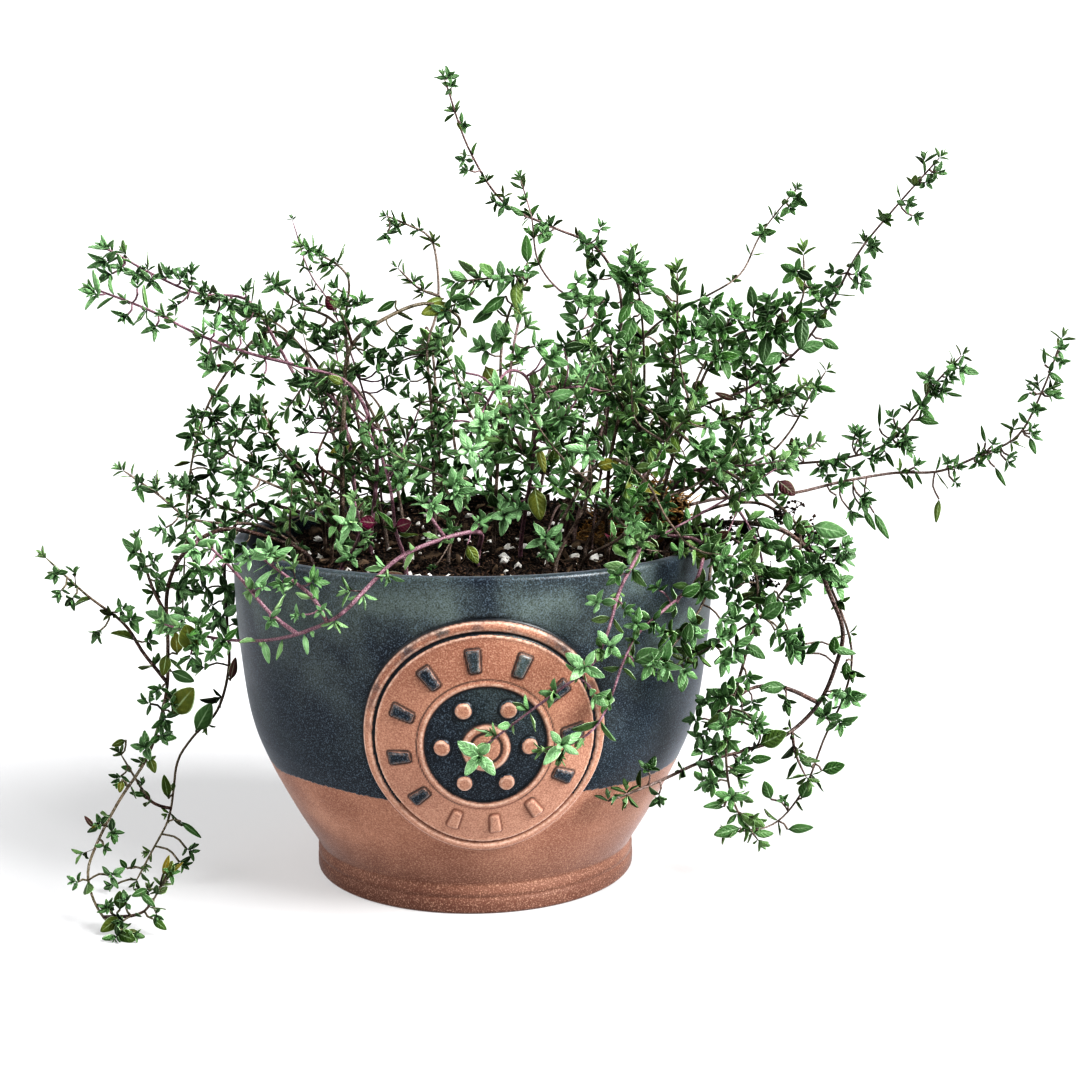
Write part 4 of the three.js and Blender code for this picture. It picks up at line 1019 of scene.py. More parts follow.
# %% Lay the stems
# The first few points of a stem stand still in the soil, and only the rest may bend
ROOT_DEPTH, FOOT_TOP = 9, 4
STEM_SAMPLE = 4
laid = []
for name, (row, *branches) in all_routes.items():
    root, *rest = row
    foot_top = float(ground_top(*root)) + FOOT_TOP
    foot_heights = [float(soil_top(*root)) - ROOT_DEPTH, foot_top - 2 * FOOT_TOP, foot_top]
    points = even_way([(*root, z) for z in foot_heights] + rest, STEM_SAMPLE)
    held = math.ceil((foot_top - foot_heights[0]) / STEM_SAMPLE)
    trunk = {"name": name, "points": points, "held": held, "trunk": None, "joint": 0}
    laid.append(trunk)
    for start, *rest in branches:
        joint = int(np.argmin(np.linalg.norm(points - start, axis=1)))
        laid.append({"name": name, "points": even_way([points[joint], *rest], STEM_SAMPLE), "held": 1,
                     "trunk": trunk, "joint": joint})
print(len(laid), "stems and branches laid")

# %% Bend the stems clear of the bowl and of each other
STEM_CLEARANCE, POT_CLEARANCE, FLOOR_CLEARANCE = 3.4, 2.4, 1.4
BENDING_ROUNDS = 80


def clear_of_pot(points):
    """Push points out of the bowl, up off the soil and up off the floor."""
    x, y, z = points.T
    radius = np.hypot(x, y)
    outward = outside_radius(np.minimum(z, POT_HEIGHT)) + POT_CLEARANCE - radius
    upward = POT_HEIGHT + POT_CLEARANCE - z
    hit = (outward > 0) & (upward > 0)
    over_soil = hit & (radius < SOIL_RADIUS - POT_CLEARANCE)
    lift = hit & ~over_soil & (upward < outward)
    push = hit & ~over_soil & ~lift
    floor_now = ground_top(x, y) + POT_CLEARANCE
    z = np.where(over_soil, np.maximum(z, floor_now), np.where(lift, z + upward, z))
    spread_out = np.where(push, 1 + outward / np.maximum(radius, 1e-6), 1)
    return np.column_stack([x * spread_out, y * spread_out, np.maximum(z, FLOOR_CLEARANCE)])


owners = [stem["name"] for stem in laid for _ in stem["points"]]
for _ in range(BENDING_ROUNDS):
    spots = np.vstack([stem["points"] for stem in laid])
    nearby = KDTree(len(spots))
    for i, spot_now in enumerate(spots):
        nearby.insert(spot_now, i)
    nearby.balance()
    pushes = np.zeros_like(spots)
    for i, spot_now in enumerate(spots):
        for other, j, gap in nearby.find_range(spot_now, STEM_CLEARANCE):
            if owners[i] != owners[j] and gap > 1e-6:
                pushes[i] += (spot_now - np.array(other)) * (0.5 * (STEM_CLEARANCE - gap) / gap)
    first = 0
    for stem in laid:
        count, held = len(stem["points"]), stem["held"]
        moves = np.pad(pushes[first:first + count], ((1, 1), (0, 0)), mode="edge")
        moved = stem["points"] + (2 * moves[1:-1] + moves[:-2] + moves[2:]) * 0.35
        stem["points"][held:] = clear_of_pot(moved[held:])
        if stem["trunk"]:
            stem["points"][0] = stem["trunk"]["points"][stem["joint"]]
        first += count
print("moved", len(owners), "points in", BENDING_ROUNDS, "rounds")

# %% How well the fine stems follow the CAD ones
def cad_surface(node):
    """A search tree over a CAD node's own mesh."""
    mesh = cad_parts[node].data
    corners = [vert.co for vert in mesh.vertices]
    return BVHTree.FromPolygons(corners, [tuple(face.vertices) for face in mesh.polygons])


farthest = {}
for stem in laid:
    surface = cad_surface("spray_" + stem["name"])
    gaps = [surface.find_nearest(Vector(p) * MM)[3] / MM for p in stem["points"]]
    farthest[stem["name"]] = max(max(gaps), farthest.get(stem["name"], 0))
worst = sorted(farthest, key=farthest.get)[-4:]
print("farthest from their nodes, mm:", {name: round(farthest[name], 2) for name in worst})

# %% [markdown]
# ## Root clots
# Between the stems at the right hang tangles of hair roots with black crumbs on them. Each clot is a
# handful of short chains that wander off from the nearest stem, so it is carried from every side.

# %% Clots that hang on the stems
# Middle, number of chains and drift of each clot
CLOTS = [((92, -4, 106), 10, (0.9, 0, -0.3)), ((100, -2, 104), 9, (0.8, 0, -0.1)),
         ((73, -8, 98), 10, (0.2, 0, -0.3)), ((91, -12, 93), 8, (0.1, 0, -0.5)),
         ((81, -14, 89), 10, (-0.2, 0, -0.8))]
CHAIN_LINKS, LINK_LENGTH, CHAIN_RADIUS = 9, 1.1, 0.14
BEAD_CHANCE, BEAD_SIZES = 0.7, (0.24, 0.62)

rng, clots = random.Random(46), bmesh.new()
stem_spots = np.vstack([stem["points"] for stem in laid])
for middle, chains, drift in CLOTS:
    foot = Vector(stem_spots[np.argmin(np.linalg.norm(stem_spots - middle, axis=1))])
    print("clot", middle, "moved", round((foot - Vector(middle)).length, 1), "mm on to a stem")
    for _ in range(chains):
        corners = [foot + wander(rng, 0.4, 0.4, 0.4)]
        heading = wander(rng, 1, 1, 1).normalized()
        for _ in range(CHAIN_LINKS):
            heading = (heading + wander(rng, 0.7, 0.7, 0.7) + Vector(drift) * 0.3).normalized()
            corners.append(corners[-1] + heading * LINK_LENGTH)
        frames = way_frames(even_way(corners, LINK_LENGTH))
        grow_tube(clots, frames, [CHAIN_RADIUS] * len(frames), 3)
        beads = [point + wander(rng, 0.2, 0.2, 0.2) for point, _, _ in frames]
        add_lumps(clots, rng, [bead for bead in beads if rng.random() < BEAD_CHANCE], BEAD_SIZES, 0.8)
finish_piece("root_clots", clots, [soil_skin])

# %% [markdown]
# ## Leaves
# A thyme leaf is a pointed oval, 5 to 9 mm long on a short stalk, folded a little along its midrib
# with its margins rolled under. A ball of a few dozen faces pressed flat makes one closed leaf, and
# its vertices remember how far out and how far along they lie, so the material can draw the midrib
# and the pale margin. A few such leaves, folded differently, are copied to every place.

# %% Leaf shapes
LEAF_OUTLINE = [(0, 0.03), (0.05, 0.1), (0.11, 0.3), (0.19, 0.64), (0.29, 0.88), (0.39, 0.99), (0.5, 0.98),
                (0.62, 0.87), (0.72, 0.74), (0.82, 0.57), (0.9, 0.4), (0.95, 0.26), (1, 0.03)]
LEAF_THICKNESS = 0.022


def leaf_shape(name, sides, rows, fold, curl, arch):
    """A closed leaf, 1 long and 1 wide, along +Y with its upper side towards +Z."""
    form = bmesh.new()
    bmesh.ops.create_uvsphere(form, u_segments=sides, v_segments=rows, radius=1)
    place_layer = form.verts.layers.float_vector.new("place")
    form.verts.layers.float_vector.new("tint")
    for vert in form.verts:
        ring = math.hypot(vert.co.x, vert.co.y)
        side, face = (vert.co.x / ring, vert.co.y / ring) if ring > 1e-4 else (0, 0)
        reach = (vert.co.z + 1) / 2
        half = 0.5 * float(np.interp(reach, *zip(*LEAF_OUTLINE)))
        x = side * half
        z = face * LEAF_THICKNESS + fold * abs(x) - curl * x * x - arch * reach * reach
        vert.co = Vector((x, reach, z))
        vert[place_layer] = (abs(side), reach, face)
    bmesh.ops.recalc_face_normals(form, faces=form.faces)
    for part in form.faces:
        part.smooth = True
        part.material_index = 1
    return to_shape(form, name)


# Sides and rows of the balls that are pressed into leaves, then fold, curl and arch of each leaf
LARGE_BALL, SMALL_BALL, LONE_BALL = (8, 6), (6, 4), (10, 13)
LARGE_LEAVES = {"folded": (0.30, 0.0, 0.10), "rolled": (0.22, 0.9, 0.16), "cupped": (0.48, 0.5, -0.04),
                "flat": (0.10, 0.4, 0.05)}
SMALL_LEAVES = {"small": (0.25, 0.2, 0.10), "bud": (0.45, 0.1, -0.12)}
large_leaves = [leaf_shape(f"leaf_{name}", *LARGE_BALL, *bends) for name, bends in LARGE_LEAVES.items()]
small_leaves = [leaf_shape(f"leaf_{name}", *SMALL_BALL, *bends) for name, bends in SMALL_LEAVES.items()]
lone_leaf = leaf_shape("leaf_broad", *LONE_BALL, *LARGE_LEAVES["flat"])
print("faces of a large and a small leaf:", len(large_leaves[0].polygons), len(small_leaves[0].polygons))


# %% Placing a leaf
def leaf_matrix(foot, along, face, length, width):
    """Where a leaf of this size goes: its stalk end, its heading and the way its upper side looks."""
    along = along.normalized()
    face = (face - along * face.dot(along)).normalized()
    matrix = Matrix((along.cross(face) * width, along * length, face * length)).transposed().to_4x4()
    matrix.translation = foot
    return matrix


def opened(axis, out, degrees):
    """Heading and upper side of a leaf that opens from its axis by an angle."""
    rise = math.radians(degrees)
    return axis * math.cos(rise) + out * math.sin(rise), axis * math.sin(rise) - out * math.cos(rise)


# %% Tufts
STALK_RADIUS = 0.06
TUFT_PAIRS = (2, 2, 3, 3)
SLIM_TUFT, BROAD_TUFT, TUFT_STALK = 0.34, 0.46, 0.7


def tuft_shape(name, rng, pairs, breadth, stalk):
    """A tuft of small leaves on a stalk along +Y; its leaves are about 1 long, and it is copied as one."""
    form = bmesh.new()
    form.verts.layers.float_vector.new("place")
    tint_layer = form.verts.layers.float_vector.new("tint")
    axis = Vector((0, 1, 0))
    if stalk:
        facing = Matrix(((1, 0, 0), (0, 0, 1), (0, -1, 0))).to_4x4()
        facing.translation = axis * stalk / 2
        bmesh.ops.create_cone(form, cap_ends=True, segments=3, radius1=STALK_RADIUS,
                              radius2=STALK_RADIUS * 0.8, depth=stalk, matrix=facing)
        for vert in form.verts:
            vert[tint_layer] = (0, 0.5, 0)
    for pair in range(pairs):
        for half in range(2):
            turn = math.pi / 2 * pair + math.pi * half + rng.gauss(0, 0.2)
            out = Vector((math.cos(turn), 0, math.sin(turn)))
            along, face = opened(axis, out, rng.uniform(58, 82) - 24 * pair)
            length = rng.uniform(0.85, 1.1) * (1 - 0.2 * pair)
            matrix = leaf_matrix(axis * (stalk + 0.14 * pair), along, face, length, length * breadth)
            shade = rng.uniform(-0.15, 0.15)
            for vert in add_copy(form, rng.choice(small_leaves), matrix):
                vert[tint_layer] = (shade, 0.12 * pair, 0)
    return to_shape(form, name)


def tuft_shapes(name, breadth, stalk):
    """Four tufts of one kind, the last two with a third pair of leaves."""
    return [tuft_shape(f"{name}_{i}", tuft_rng, pairs, breadth, stalk)
            for i, pairs in enumerate(TUFT_PAIRS)]


tuft_rng = random.Random(51)
# By whether the leaves are slim, then by whether there is a stalk
TUFTS = {True: [tuft_shapes("slim_tuft", SLIM_TUFT, 0), tuft_shapes("slim_stalked", SLIM_TUFT, TUFT_STALK)],
         False: [tuft_shapes("broad_tuft", BROAD_TUFT, 0),
                 tuft_shapes("broad_stalked", BROAD_TUFT, TUFT_STALK)]}
print("faces of the tufts:", [len(shape.polygons) for shape in TUFTS[True][1]])

# %% [markdown]
# ## Leaf and stem materials
# Each leaf carries three numbers: its tone, how young it is, and how far it is flushed with purple or
# yellow. The shader mixes dark green, mint and the flush by these, then lightens the midrib, the
# rolled margin and the underside. Stems do the same between green-purple and woody brown.

# %% Leaf material
leaf_skin, tree, shader, place = new_material("thyme_leaf", Roughness=0.46, Specular_IOR_Level=0.3)
side, reach, face = attribute(tree, "place")
tone, youth, flush = attribute(tree, "tint")
blotch = mottled_skin(tree, place, 420, (0, 0, 0), (255, 255, 255))
margin = times(tree, spread(tree, side, 0.84, 0.96), spread(tree, reach, 0.1, 0.25))
midrib = times(tree, spread(tree, side, 0.12, 0.02), spread(tree, reach, 1.0, 0.6))
pale = calc(tree, "MAXIMUM", times(tree, margin, 0.85), times(tree, midrib, 0.3))
green = layered(
    tree, blend(tree, tone, colour(8, 20, 6), colour(84, 128, 62)),
    (spread(tree, youth, 0, 1), (166, 206, 158)),
    (spread(tree, flush, 0, 1), (120, 34, 76)),
    (spread(tree, flush, 0, -1), (138, 124, 48)),
    (times(tree, blotch["Colour"], 0.34), (46, 76, 30)),
    # The shaded foot of the leaf, then its underside
    (times(tree, spread(tree, reach, 0.3, 0.02), 0.6), (12, 26, 10)),
    (times(tree, spread(tree, face, 0.1, -0.3), 0.25), (120, 158, 112)),
    (pale, (216, 238, 204)))
# Veins leave the midrib at a slant, so they are stripes of reach less a share of the way to the side
slant = calc(tree, "SUBTRACT", reach, times(tree, side, 0.3))
veins = times(tree, calc(tree, "SINE", times(tree, slant, 34)), 0.25)
wear(tree, shader, green, calc(tree, "ADD", veins, grainy(tree, place, 2600, 1)), 0.18 * MM)
print("leaf material of", len(tree.nodes), "nodes")

# %% Stem material
stem_skin, tree, shader, place = new_material("thyme_stem", Roughness=0.5)
wood, purple, _ = attribute(tree, "tint")
bark_brown = mottled_skin(tree, place, 350, (40, 27, 24), (96, 70, 60))
young_skin = blend(tree, purple, colour(116, 126, 84), colour(136, 102, 116))
skin = blend(tree, wood, young_skin, bark_brown["Colour"])
fuzz = grained_skin(tree, place, 2600, skin, (196, 180, 176), (56, 34, 32), 0.5)
wear(tree, shader, fuzz["Colour"], fuzz["Height"], 0.25 * MM)
print("stem material of", len(tree.nodes), "nodes")

# %% [markdown]
# ## Grow a spray
# Thyme sets its leaves in pairs, each pair turned a quarter against the last. Near the tip the pairs
# crowd together into a star; further down they stand 8 to 13 mm apart, and most leaves hold a tuft of
# tiny leaves in their axil. Each spray has its own seeded chance, so one can change without the rest.

# %% Looks of the sprays
# radius: of the stem, in mm; wood and purple: of its skin; leaf, breadth: size and breadth of leaves;
# tone, youth: of their green; shoots: young shoots near the foot; twigs: chance of a twig at a pair;
# gap: between pairs, in mm; keep: share of leaves still there; stalk: share of tufts on a stalk
Look = namedtuple("Look", "radius wood purple leaf breadth tone youth shoots twigs gap keep stalk")
USUAL_LOOK = Look(0.55, 0.5, 0.5, 0.92, 0.45, 0.52, 0.0, 1, 0.05, 8.2, 0.9, 0.35)
WOODY = dict(radius=0.75, wood=1.0, purple=0.2, youth=0.0, tone=0.25, keep=0.6)
LILAC = dict(radius=0.6, wood=0.1, purple=1.0)
SLIM = dict(breadth=0.28, leaf=0.8, tone=0.2)
BRIGHT = dict(breadth=0.36, leaf=0.72, youth=0.75, tone=0.7, shoots=0)


def look_of(*habits, **own):
    """The usual look, changed by some shared habits and then by the spray's own values."""
    made = USUAL_LOOK
    for changes in (*habits, own):
        made = made._replace(**changes)
    return made


LOOKS = {
    "left_pink": look_of(LILAC, SLIM, tone=0.5, youth=0.25, gap=9),
    "left_high": look_of(LILAC, SLIM, wood=0.3, youth=0.15, gap=9, keep=0.8),
    "left_upright": look_of(SLIM, tone=0.5, youth=0.15, gap=9),
    "thin_purple": look_of(LILAC, SLIM, radius=0.36, leaf=0.45, wood=0.6, keep=0.5, gap=10),
    "brown_loop": look_of(WOODY, twigs=0.12, leaf=0.7, keep=0.5),
    "mid_upright": look_of(SLIM, wood=0.4, tone=0.45, leaf=0.66),
    "tall": look_of(wood=0.5, purple=0.7, breadth=0.4, leaf=0.56, tone=0.3, keep=0.8),
    "thin_tall": look_of(radius=0.42, wood=0.5, purple=0.7, leaf=0.7, keep=0.8),
    "mid_leafy": look_of(leaf=1.0, tone=0.5, youth=0.2, breadth=0.5),
    "front_fuzzy": look_of(LILAC, BRIGHT, shoots=1),
    "grey_arch": look_of(BRIGHT, radius=0.65, wood=0.3, purple=0.7, youth=0.4, keep=0.7),
    "pink_mid": look_of(LILAC, BRIGHT, youth=0.5, breadth=0.44),
    "right_fall": look_of(wood=0.8, purple=0.4, twigs=0.1, tone=0.45, keep=0.75),
    "brown_hoop": look_of(WOODY, purple=0.6, twigs=0.04, gap=13, leaf=0.8, keep=0.35),
    "thin_hoop": look_of(radius=0.45, wood=0.8, twigs=0.03, gap=11, leaf=0.75, keep=0.7),
    "right_leafy_fall": look_of(wood=0.5, leaf=0.9, twigs=0.14, youth=0.15),
    "lilac_fall": look_of(LILAC, twigs=0.08, youth=0.25, leaf=0.8),
    "medal_fall": look_of(LILAC, twigs=0.08, youth=0.35, leaf=0.8),
    "pink_front": look_of(LILAC, BRIGHT, radius=0.7, twigs=0.02, gap=10, keep=0.8),
    "short_fuzzy": look_of(LILAC, BRIGHT),
    "purple_curl": look_of(LILAC, SLIM, tone=0.3, keep=0.7),
    "long_left_fall": look_of(WOODY, radius=0.5, leaf=0.7, breadth=0.36, twigs=0.08, keep=0.8),
    "trail_front": look_of(WOODY, radius=0.6, twigs=0.0, leaf=0.75, gap=9.5, keep=0.5),
    "trail_back": look_of(WOODY, radius=0.55, twigs=0.0, leaf=0.75, gap=10, keep=0.4),
    "right_far": look_of(wood=0.6, purple=0.6, breadth=0.3, leaf=0.7, gap=11.5, tone=0.5,
                         twigs=0.0, stalk=0.9, keep=0.6),
    "right_far_low": look_of(wood=0.5, purple=0.6, breadth=0.32, leaf=0.74, gap=9.5, tone=0.5,
                             twigs=0.0, stalk=0.8, keep=0.6),
    "right_twig": look_of(wood=0.6, breadth=0.32, leaf=0.7, gap=10, tone=0.5, keep=0.7),
    "right_high": look_of(wood=0.5, purple=0.7, twigs=0.05, leaf=0.66, tone=0.3, keep=0.7),
    "back_high": look_of(wood=0.6, radius=0.45, leaf=0.55, gap=10, keep=0.8),
    "right_bushy": look_of(leaf=1.0, breadth=0.5, tone=0.48, keep=0.8, shoots=2, twigs=0.1),
    "crown_right": look_of(leaf=0.95, tone=0.55, youth=0.12, twigs=0.1, keep=0.8),
    "lilac_drop": look_of(LILAC, twigs=0.08, youth=0.15),
    "front_bright": look_of(BRIGHT, shoots=1),
    "front_left": look_of(BRIGHT, shoots=1),
    "front_middle": look_of(BRIGHT, youth=0.35, breadth=0.44),
    "low_front": look_of(youth=0.25, shoots=0),
    "left_mid": look_of(SLIM, leaf=0.85, tone=0.25), "left_front": look_of(SLIM, youth=0.35),
    "left_arch": look_of(SLIM), "left_low": look_of(SLIM, youth=0.2), "left_tip": look_of(SLIM, youth=0.15),
}
print(len(LOOKS), "sprays with a look of their own")

# %% Keep leaves out of the bowl
UP = Vector((0, 0, 1))
LEAF_CLEARANCE = 0.7


def pot_lack(point):
    """How far a point is short of clearing the bowl, soil and floor, and the way out."""
    x, y, z = point
    if z < LEAF_CLEARANCE:
        return LEAF_CLEARANCE - z, UP
    if z > POT_HEIGHT + LEAF_CLEARANCE:
        return 0, UP
    radius = math.hypot(x, y)
    if radius < SOIL_RADIUS:
        return max(float(ground_top(x, y)) + LEAF_CLEARANCE - z, 0), UP
    lack = float(outside_radius(z)) + LEAF_CLEARANCE - radius
    return max(lack, 0), Vector((x / radius, y / radius, 0.3))


def clear_heading(foot, along, length):
    """Turn a leaf's heading away from the bowl until its middle and tip are clear."""
    for share in (1, 0.6, 1):
        for _ in range(3):
            lack, way_out = pot_lack(foot + along * length * share)
            if lack <= 0:
                break
            along = (along * length * share + way_out * (lack + 0.3)).normalized()
    return along


def add_leaves(form, shape, foot, along, face, length, width, tint):
    """Copy a leaf or a tuft into place and tint it."""
    along = clear_heading(foot, along.normalized(), length)
    tint_layer = form.verts.layers.float_vector["tint"]
    for vert in add_copy(form, shape, leaf_matrix(foot, along, face, length, width)):
        vert[tint_layer] += tint


print("leaves stay", LEAF_CLEARANCE, "mm clear of the bowl")

# %% Windows in the crown
# Through some gaps the photo shows soil, moss or the white behind, and few leaves hang there: x, z,
# half width and half height in mm, as the camera sees them on the upright plane through the bowl
WINDOWS = [
    (-48, 152, 8, 5), (-54, 131, 5, 4), (-30, 139, 5, 5), (-17, 160, 6, 4), (17, 146, 6, 3),
    (39, 116, 6, 4), (57, 117, 9, 4), (61, 107, 10, 6), (94, 182, 6, 5), (79, 62, 11, 5), (68, 77, 4, 7),
    (87, 45, 6, 5), (89, 17, 7, 4), (49, 162, 6, 5), (3, 161, 4, 3), (74, 148, 5, 4), (77, 168, 5, 4),
    (31, 101, 11, 6), (-68, 148, 3, 5), (91, 130, 8, 3), (66, 144, 6, 3), (2, 99, 8, 8)]
WINDOW_CHANCE = 0.85


def in_window(point):
    """Whether the camera sees a point within a window."""
    share = CAMERA_PLACE.y / (CAMERA_PLACE.y - point.y * MM)
    x, _, z = (CAMERA_PLACE + (point * MM - CAMERA_PLACE) * share) / MM
    return any(math.hypot((x - middle) / wide, (z - height) / high) < 1
               for middle, height, wide, high in WINDOWS)


print(len(WINDOWS), "windows")

# %% Leaves of one pair
TUFT_CHANCE, TUFT_REACH = 0.52, (3.0, 5.6)
# Leaves narrower than these shares of their length count as slim and as very slim
SLIM_BREADTH, NEEDLE_BREADTH = 0.42, 0.32
# How far a leaf opens from its stem in degrees, and how much less it does near the tip
PAIR_OPENING, TIP_CLOSING = (42, 76), 14
SMALL_LEAF = 3.4
PURPLE_BELOW, YELLOW_ABOVE, USUAL_FLUSH = 0.008, 0.985, -0.26


def leaf_tint(rng, look, near_tip):
    """Tone, youth and flush of one leaf; a few are purple and a few yellow."""
    tone = min(max(rng.gauss(look.tone, 0.26), 0), 1)
    youth = min(max(look.youth + 0.2 * near_tip + rng.gauss(0, 0.07), 0), 1)
    odd = rng.random()
    if odd < PURPLE_BELOW:
        flush = rng.uniform(0.5, 1)
    elif odd > YELLOW_ABOVE:
        flush = -rng.uniform(0.3, 0.8)
    else:
        flush = USUAL_FLUSH * odd
    return Vector((tone, youth, flush))


def pick_tuft(rng, look):
    return rng.choice(TUFTS[look.breadth < SLIM_BREADTH][rng.random() < look.stalk])


def leaf_pair(form, rng, look, frame_now, turn, size, radius, near_tip):
    """Two leaves opposite each other, with a tuft in each axil."""
    point, ahead, side = frame_now
    if rng.random() < WINDOW_CHANCE and in_window(point):
        return
    for half_turn in (0, math.pi):
        out = Matrix.Rotation(turn + half_turn + rng.gauss(0, 0.15), 3, ahead) @ side
        along, face = opened(ahead, out, rng.uniform(*PAIR_OPENING) - TIP_CLOSING * near_tip)
        along += UP * rng.uniform(-0.15, 0.25)
        face += UP * 0.6
        length = size * rng.uniform(0.82, 1.14)
        foot = point + out * radius * 0.7
        width = length * look.breadth * rng.uniform(0.88, 1.14)
        if rng.random() < look.keep:
            shape = rng.choice(large_leaves if length > SMALL_LEAF else small_leaves)
            add_leaves(form, shape, foot, along, face, length, width, leaf_tint(rng, look, near_tip))
        if near_tip < 0.7 and rng.random() < TUFT_CHANCE * look.keep:
            heading = ahead * 0.8 + out * 0.8 + UP * 0.2
            reach = rng.uniform(*TUFT_REACH) * (0.55 + 0.45 * look.leaf)
            tint = leaf_tint(rng, look, min(near_tip + 0.2, 1))
            add_leaves(form, pick_tuft(rng, look), foot, heading, side, reach, reach, tint)


# %% Where twigs may grow
CROWN_MIDDLE, CROWN_RADIUS, CROWN_TOP = 12, 92, 168


def in_crown(point):
    """Twigs only fill the crown over the bowl, so that the long stems keep their clear outlines."""
    return math.hypot(point.x - CROWN_MIDDLE, point.y) < CROWN_RADIUS and point.z < CROWN_TOP


def twig_way(rng, point, heading, reach):
    """Corners of a short bent twig, or nothing where the bowl is in its way."""
    bend = wander(rng, 1, 1, 0.4) * 0.14 * reach
    corners = [point, point + heading * reach * 0.35,
               point + heading * reach * 0.7 + bend + UP * reach * 0.06,
               point + heading * reach + bend * 2 + UP * reach * 0.16]
    clear = all(pot_lack(p)[0] <= 0 and in_crown(p) and not in_window(p) for p in corners[1:])
    return corners if clear else None


# %% One dressed stem
TIP_START, TIP_GAP, GAP_GROWTH, TIP_REACH = 2.6, 3.4, 1.3, 14
LEAF_LENGTH, TIP_LEAF = 8.0, 5.4
RING_STEP = 2.0
# Share of the stem's radius at its foot, how much it loses up to the tip, and how woody the tip is
FOOT_SHARE, TAPER, WOODY_TIP = 1.12, 0.62, 0.4
TWIG_FROM, TWIG_REACH, TWIG_BARE, TWIG_THICKNESS = 10, (9, 30), 3, 0.62


def dress_stem(form, rng, look, points, bare, thick=1.0, twigs=0.0, sides=6):
    """A tapering stem with its leaf pairs, and now and then a twig."""
    frames = way_frames(even_way(points, RING_STEP))
    length = RING_STEP * (len(frames) - 1)
    last = len(frames) - 1
    radii = [look.radius * thick * (FOOT_SHARE - TAPER * i / last) for i in range(last + 1)]
    radii[-1] *= 0.6
    tint_layer = form.verts.layers.float_vector["tint"]
    for vert in grow_tube(form, frames, radii, sides):
        share = (frames[-1][0] - vert.co).length / length
        vert[tint_layer] = (look.wood * min(1, WOODY_TIP + share), look.purple, 0)
    tip, ahead, side = frames[-1]
    reach = TIP_LEAF * look.leaf * rng.uniform(0.85, 1.15)
    tip_tuft = TUFTS[look.breadth < SLIM_BREADTH][0][3]
    add_leaves(form, tip_tuft, tip, ahead, side, reach, reach, leaf_tint(rng, look, 1))
    from_tip, gap = TIP_START, TIP_GAP
    turn = rng.uniform(0, math.pi)
    while length - from_tip > bare:
        place_now = (length - from_tip) / RING_STEP
        step = min(int(place_now), len(frames) - 2)
        point, ahead, side = frames[step]
        point = point.lerp(frames[step + 1][0], place_now - step)
        near_tip = max(0.0, 1 - from_tip / TIP_REACH)
        size = LEAF_LENGTH * look.leaf * (1 - 0.3 * near_tip) * rng.uniform(0.75, 1.12)
        leaf_pair(form, rng, look, (point, ahead, side), turn, size, radii[step], near_tip)
        if from_tip > TWIG_FROM and rng.random() < twigs:
            out = Matrix.Rotation(turn + rng.choice((0, math.pi)), 3, ahead) @ side
            heading = (ahead * 0.5 + out * 0.9 + UP * 0.2).normalized()
            way = twig_way(rng, point, heading, rng.uniform(*TWIG_REACH))
            if way:
                dress_stem(form, rng, look, way, TWIG_BARE, thick * TWIG_THICKNESS, 0, 5)
        turn += math.pi / 2 + rng.gauss(0, 0.12)
        from_tip += gap * rng.uniform(0.9, 1.1)
        gap = min(gap * GAP_GROWTH, look.gap)


# %% Young shoots near the foot
SHOOT_HEIGHTS, SHOOT_LENGTH = (4, 42), (16, 46)
SHOOT_BARE, SHOOT_THICKNESS, SHOOT_TWIGS = 4, 0.6, 0.08


def add_shoots(form, rng, look, points):
    """Young shoots that fill the crown's middle, from the lower part of a stem."""
    frames = way_frames(even_way(points, RING_STEP))
    young = look._replace(youth=min(look.youth + 0.1, 1), leaf=look.leaf * 0.9)
    for _ in range(look.shoots):
        height = ROOT_DEPTH + FOOT_TOP + rng.uniform(*SHOOT_HEIGHTS)
        point, ahead, _ = frames[min(int(height / RING_STEP), len(frames) - 3)]
        turn = rng.uniform(0, 2 * math.pi)
        heading = Vector((math.cos(turn), math.sin(turn), rng.uniform(0.0, 0.9))) + ahead * 0.3
        way = twig_way(rng, point, heading.normalized(), rng.uniform(*SHOOT_LENGTH))
        if way:
            dress_stem(form, rng, young, way, SHOOT_BARE, SHOOT_THICKNESS, SHOOT_TWIGS, 5)


# %% [markdown]
# ## Stars and single leaves
# Seen from its tip, a shoot with its crowded leaf pairs is a small star. The photo shows hundreds of
# them, and some large leaves that stand alone. Each is listed by its x and z, as the camera sees it
# at the depth of its stem, and a thin twig joins it to the nearest stem of its spray, so that it is
# carried from every side.


# %% Stars and single leaves
def read_spots(text):
    """A table that has one row of spots for each name."""
    return {name: row for name, (row,) in read_table(text).items()}


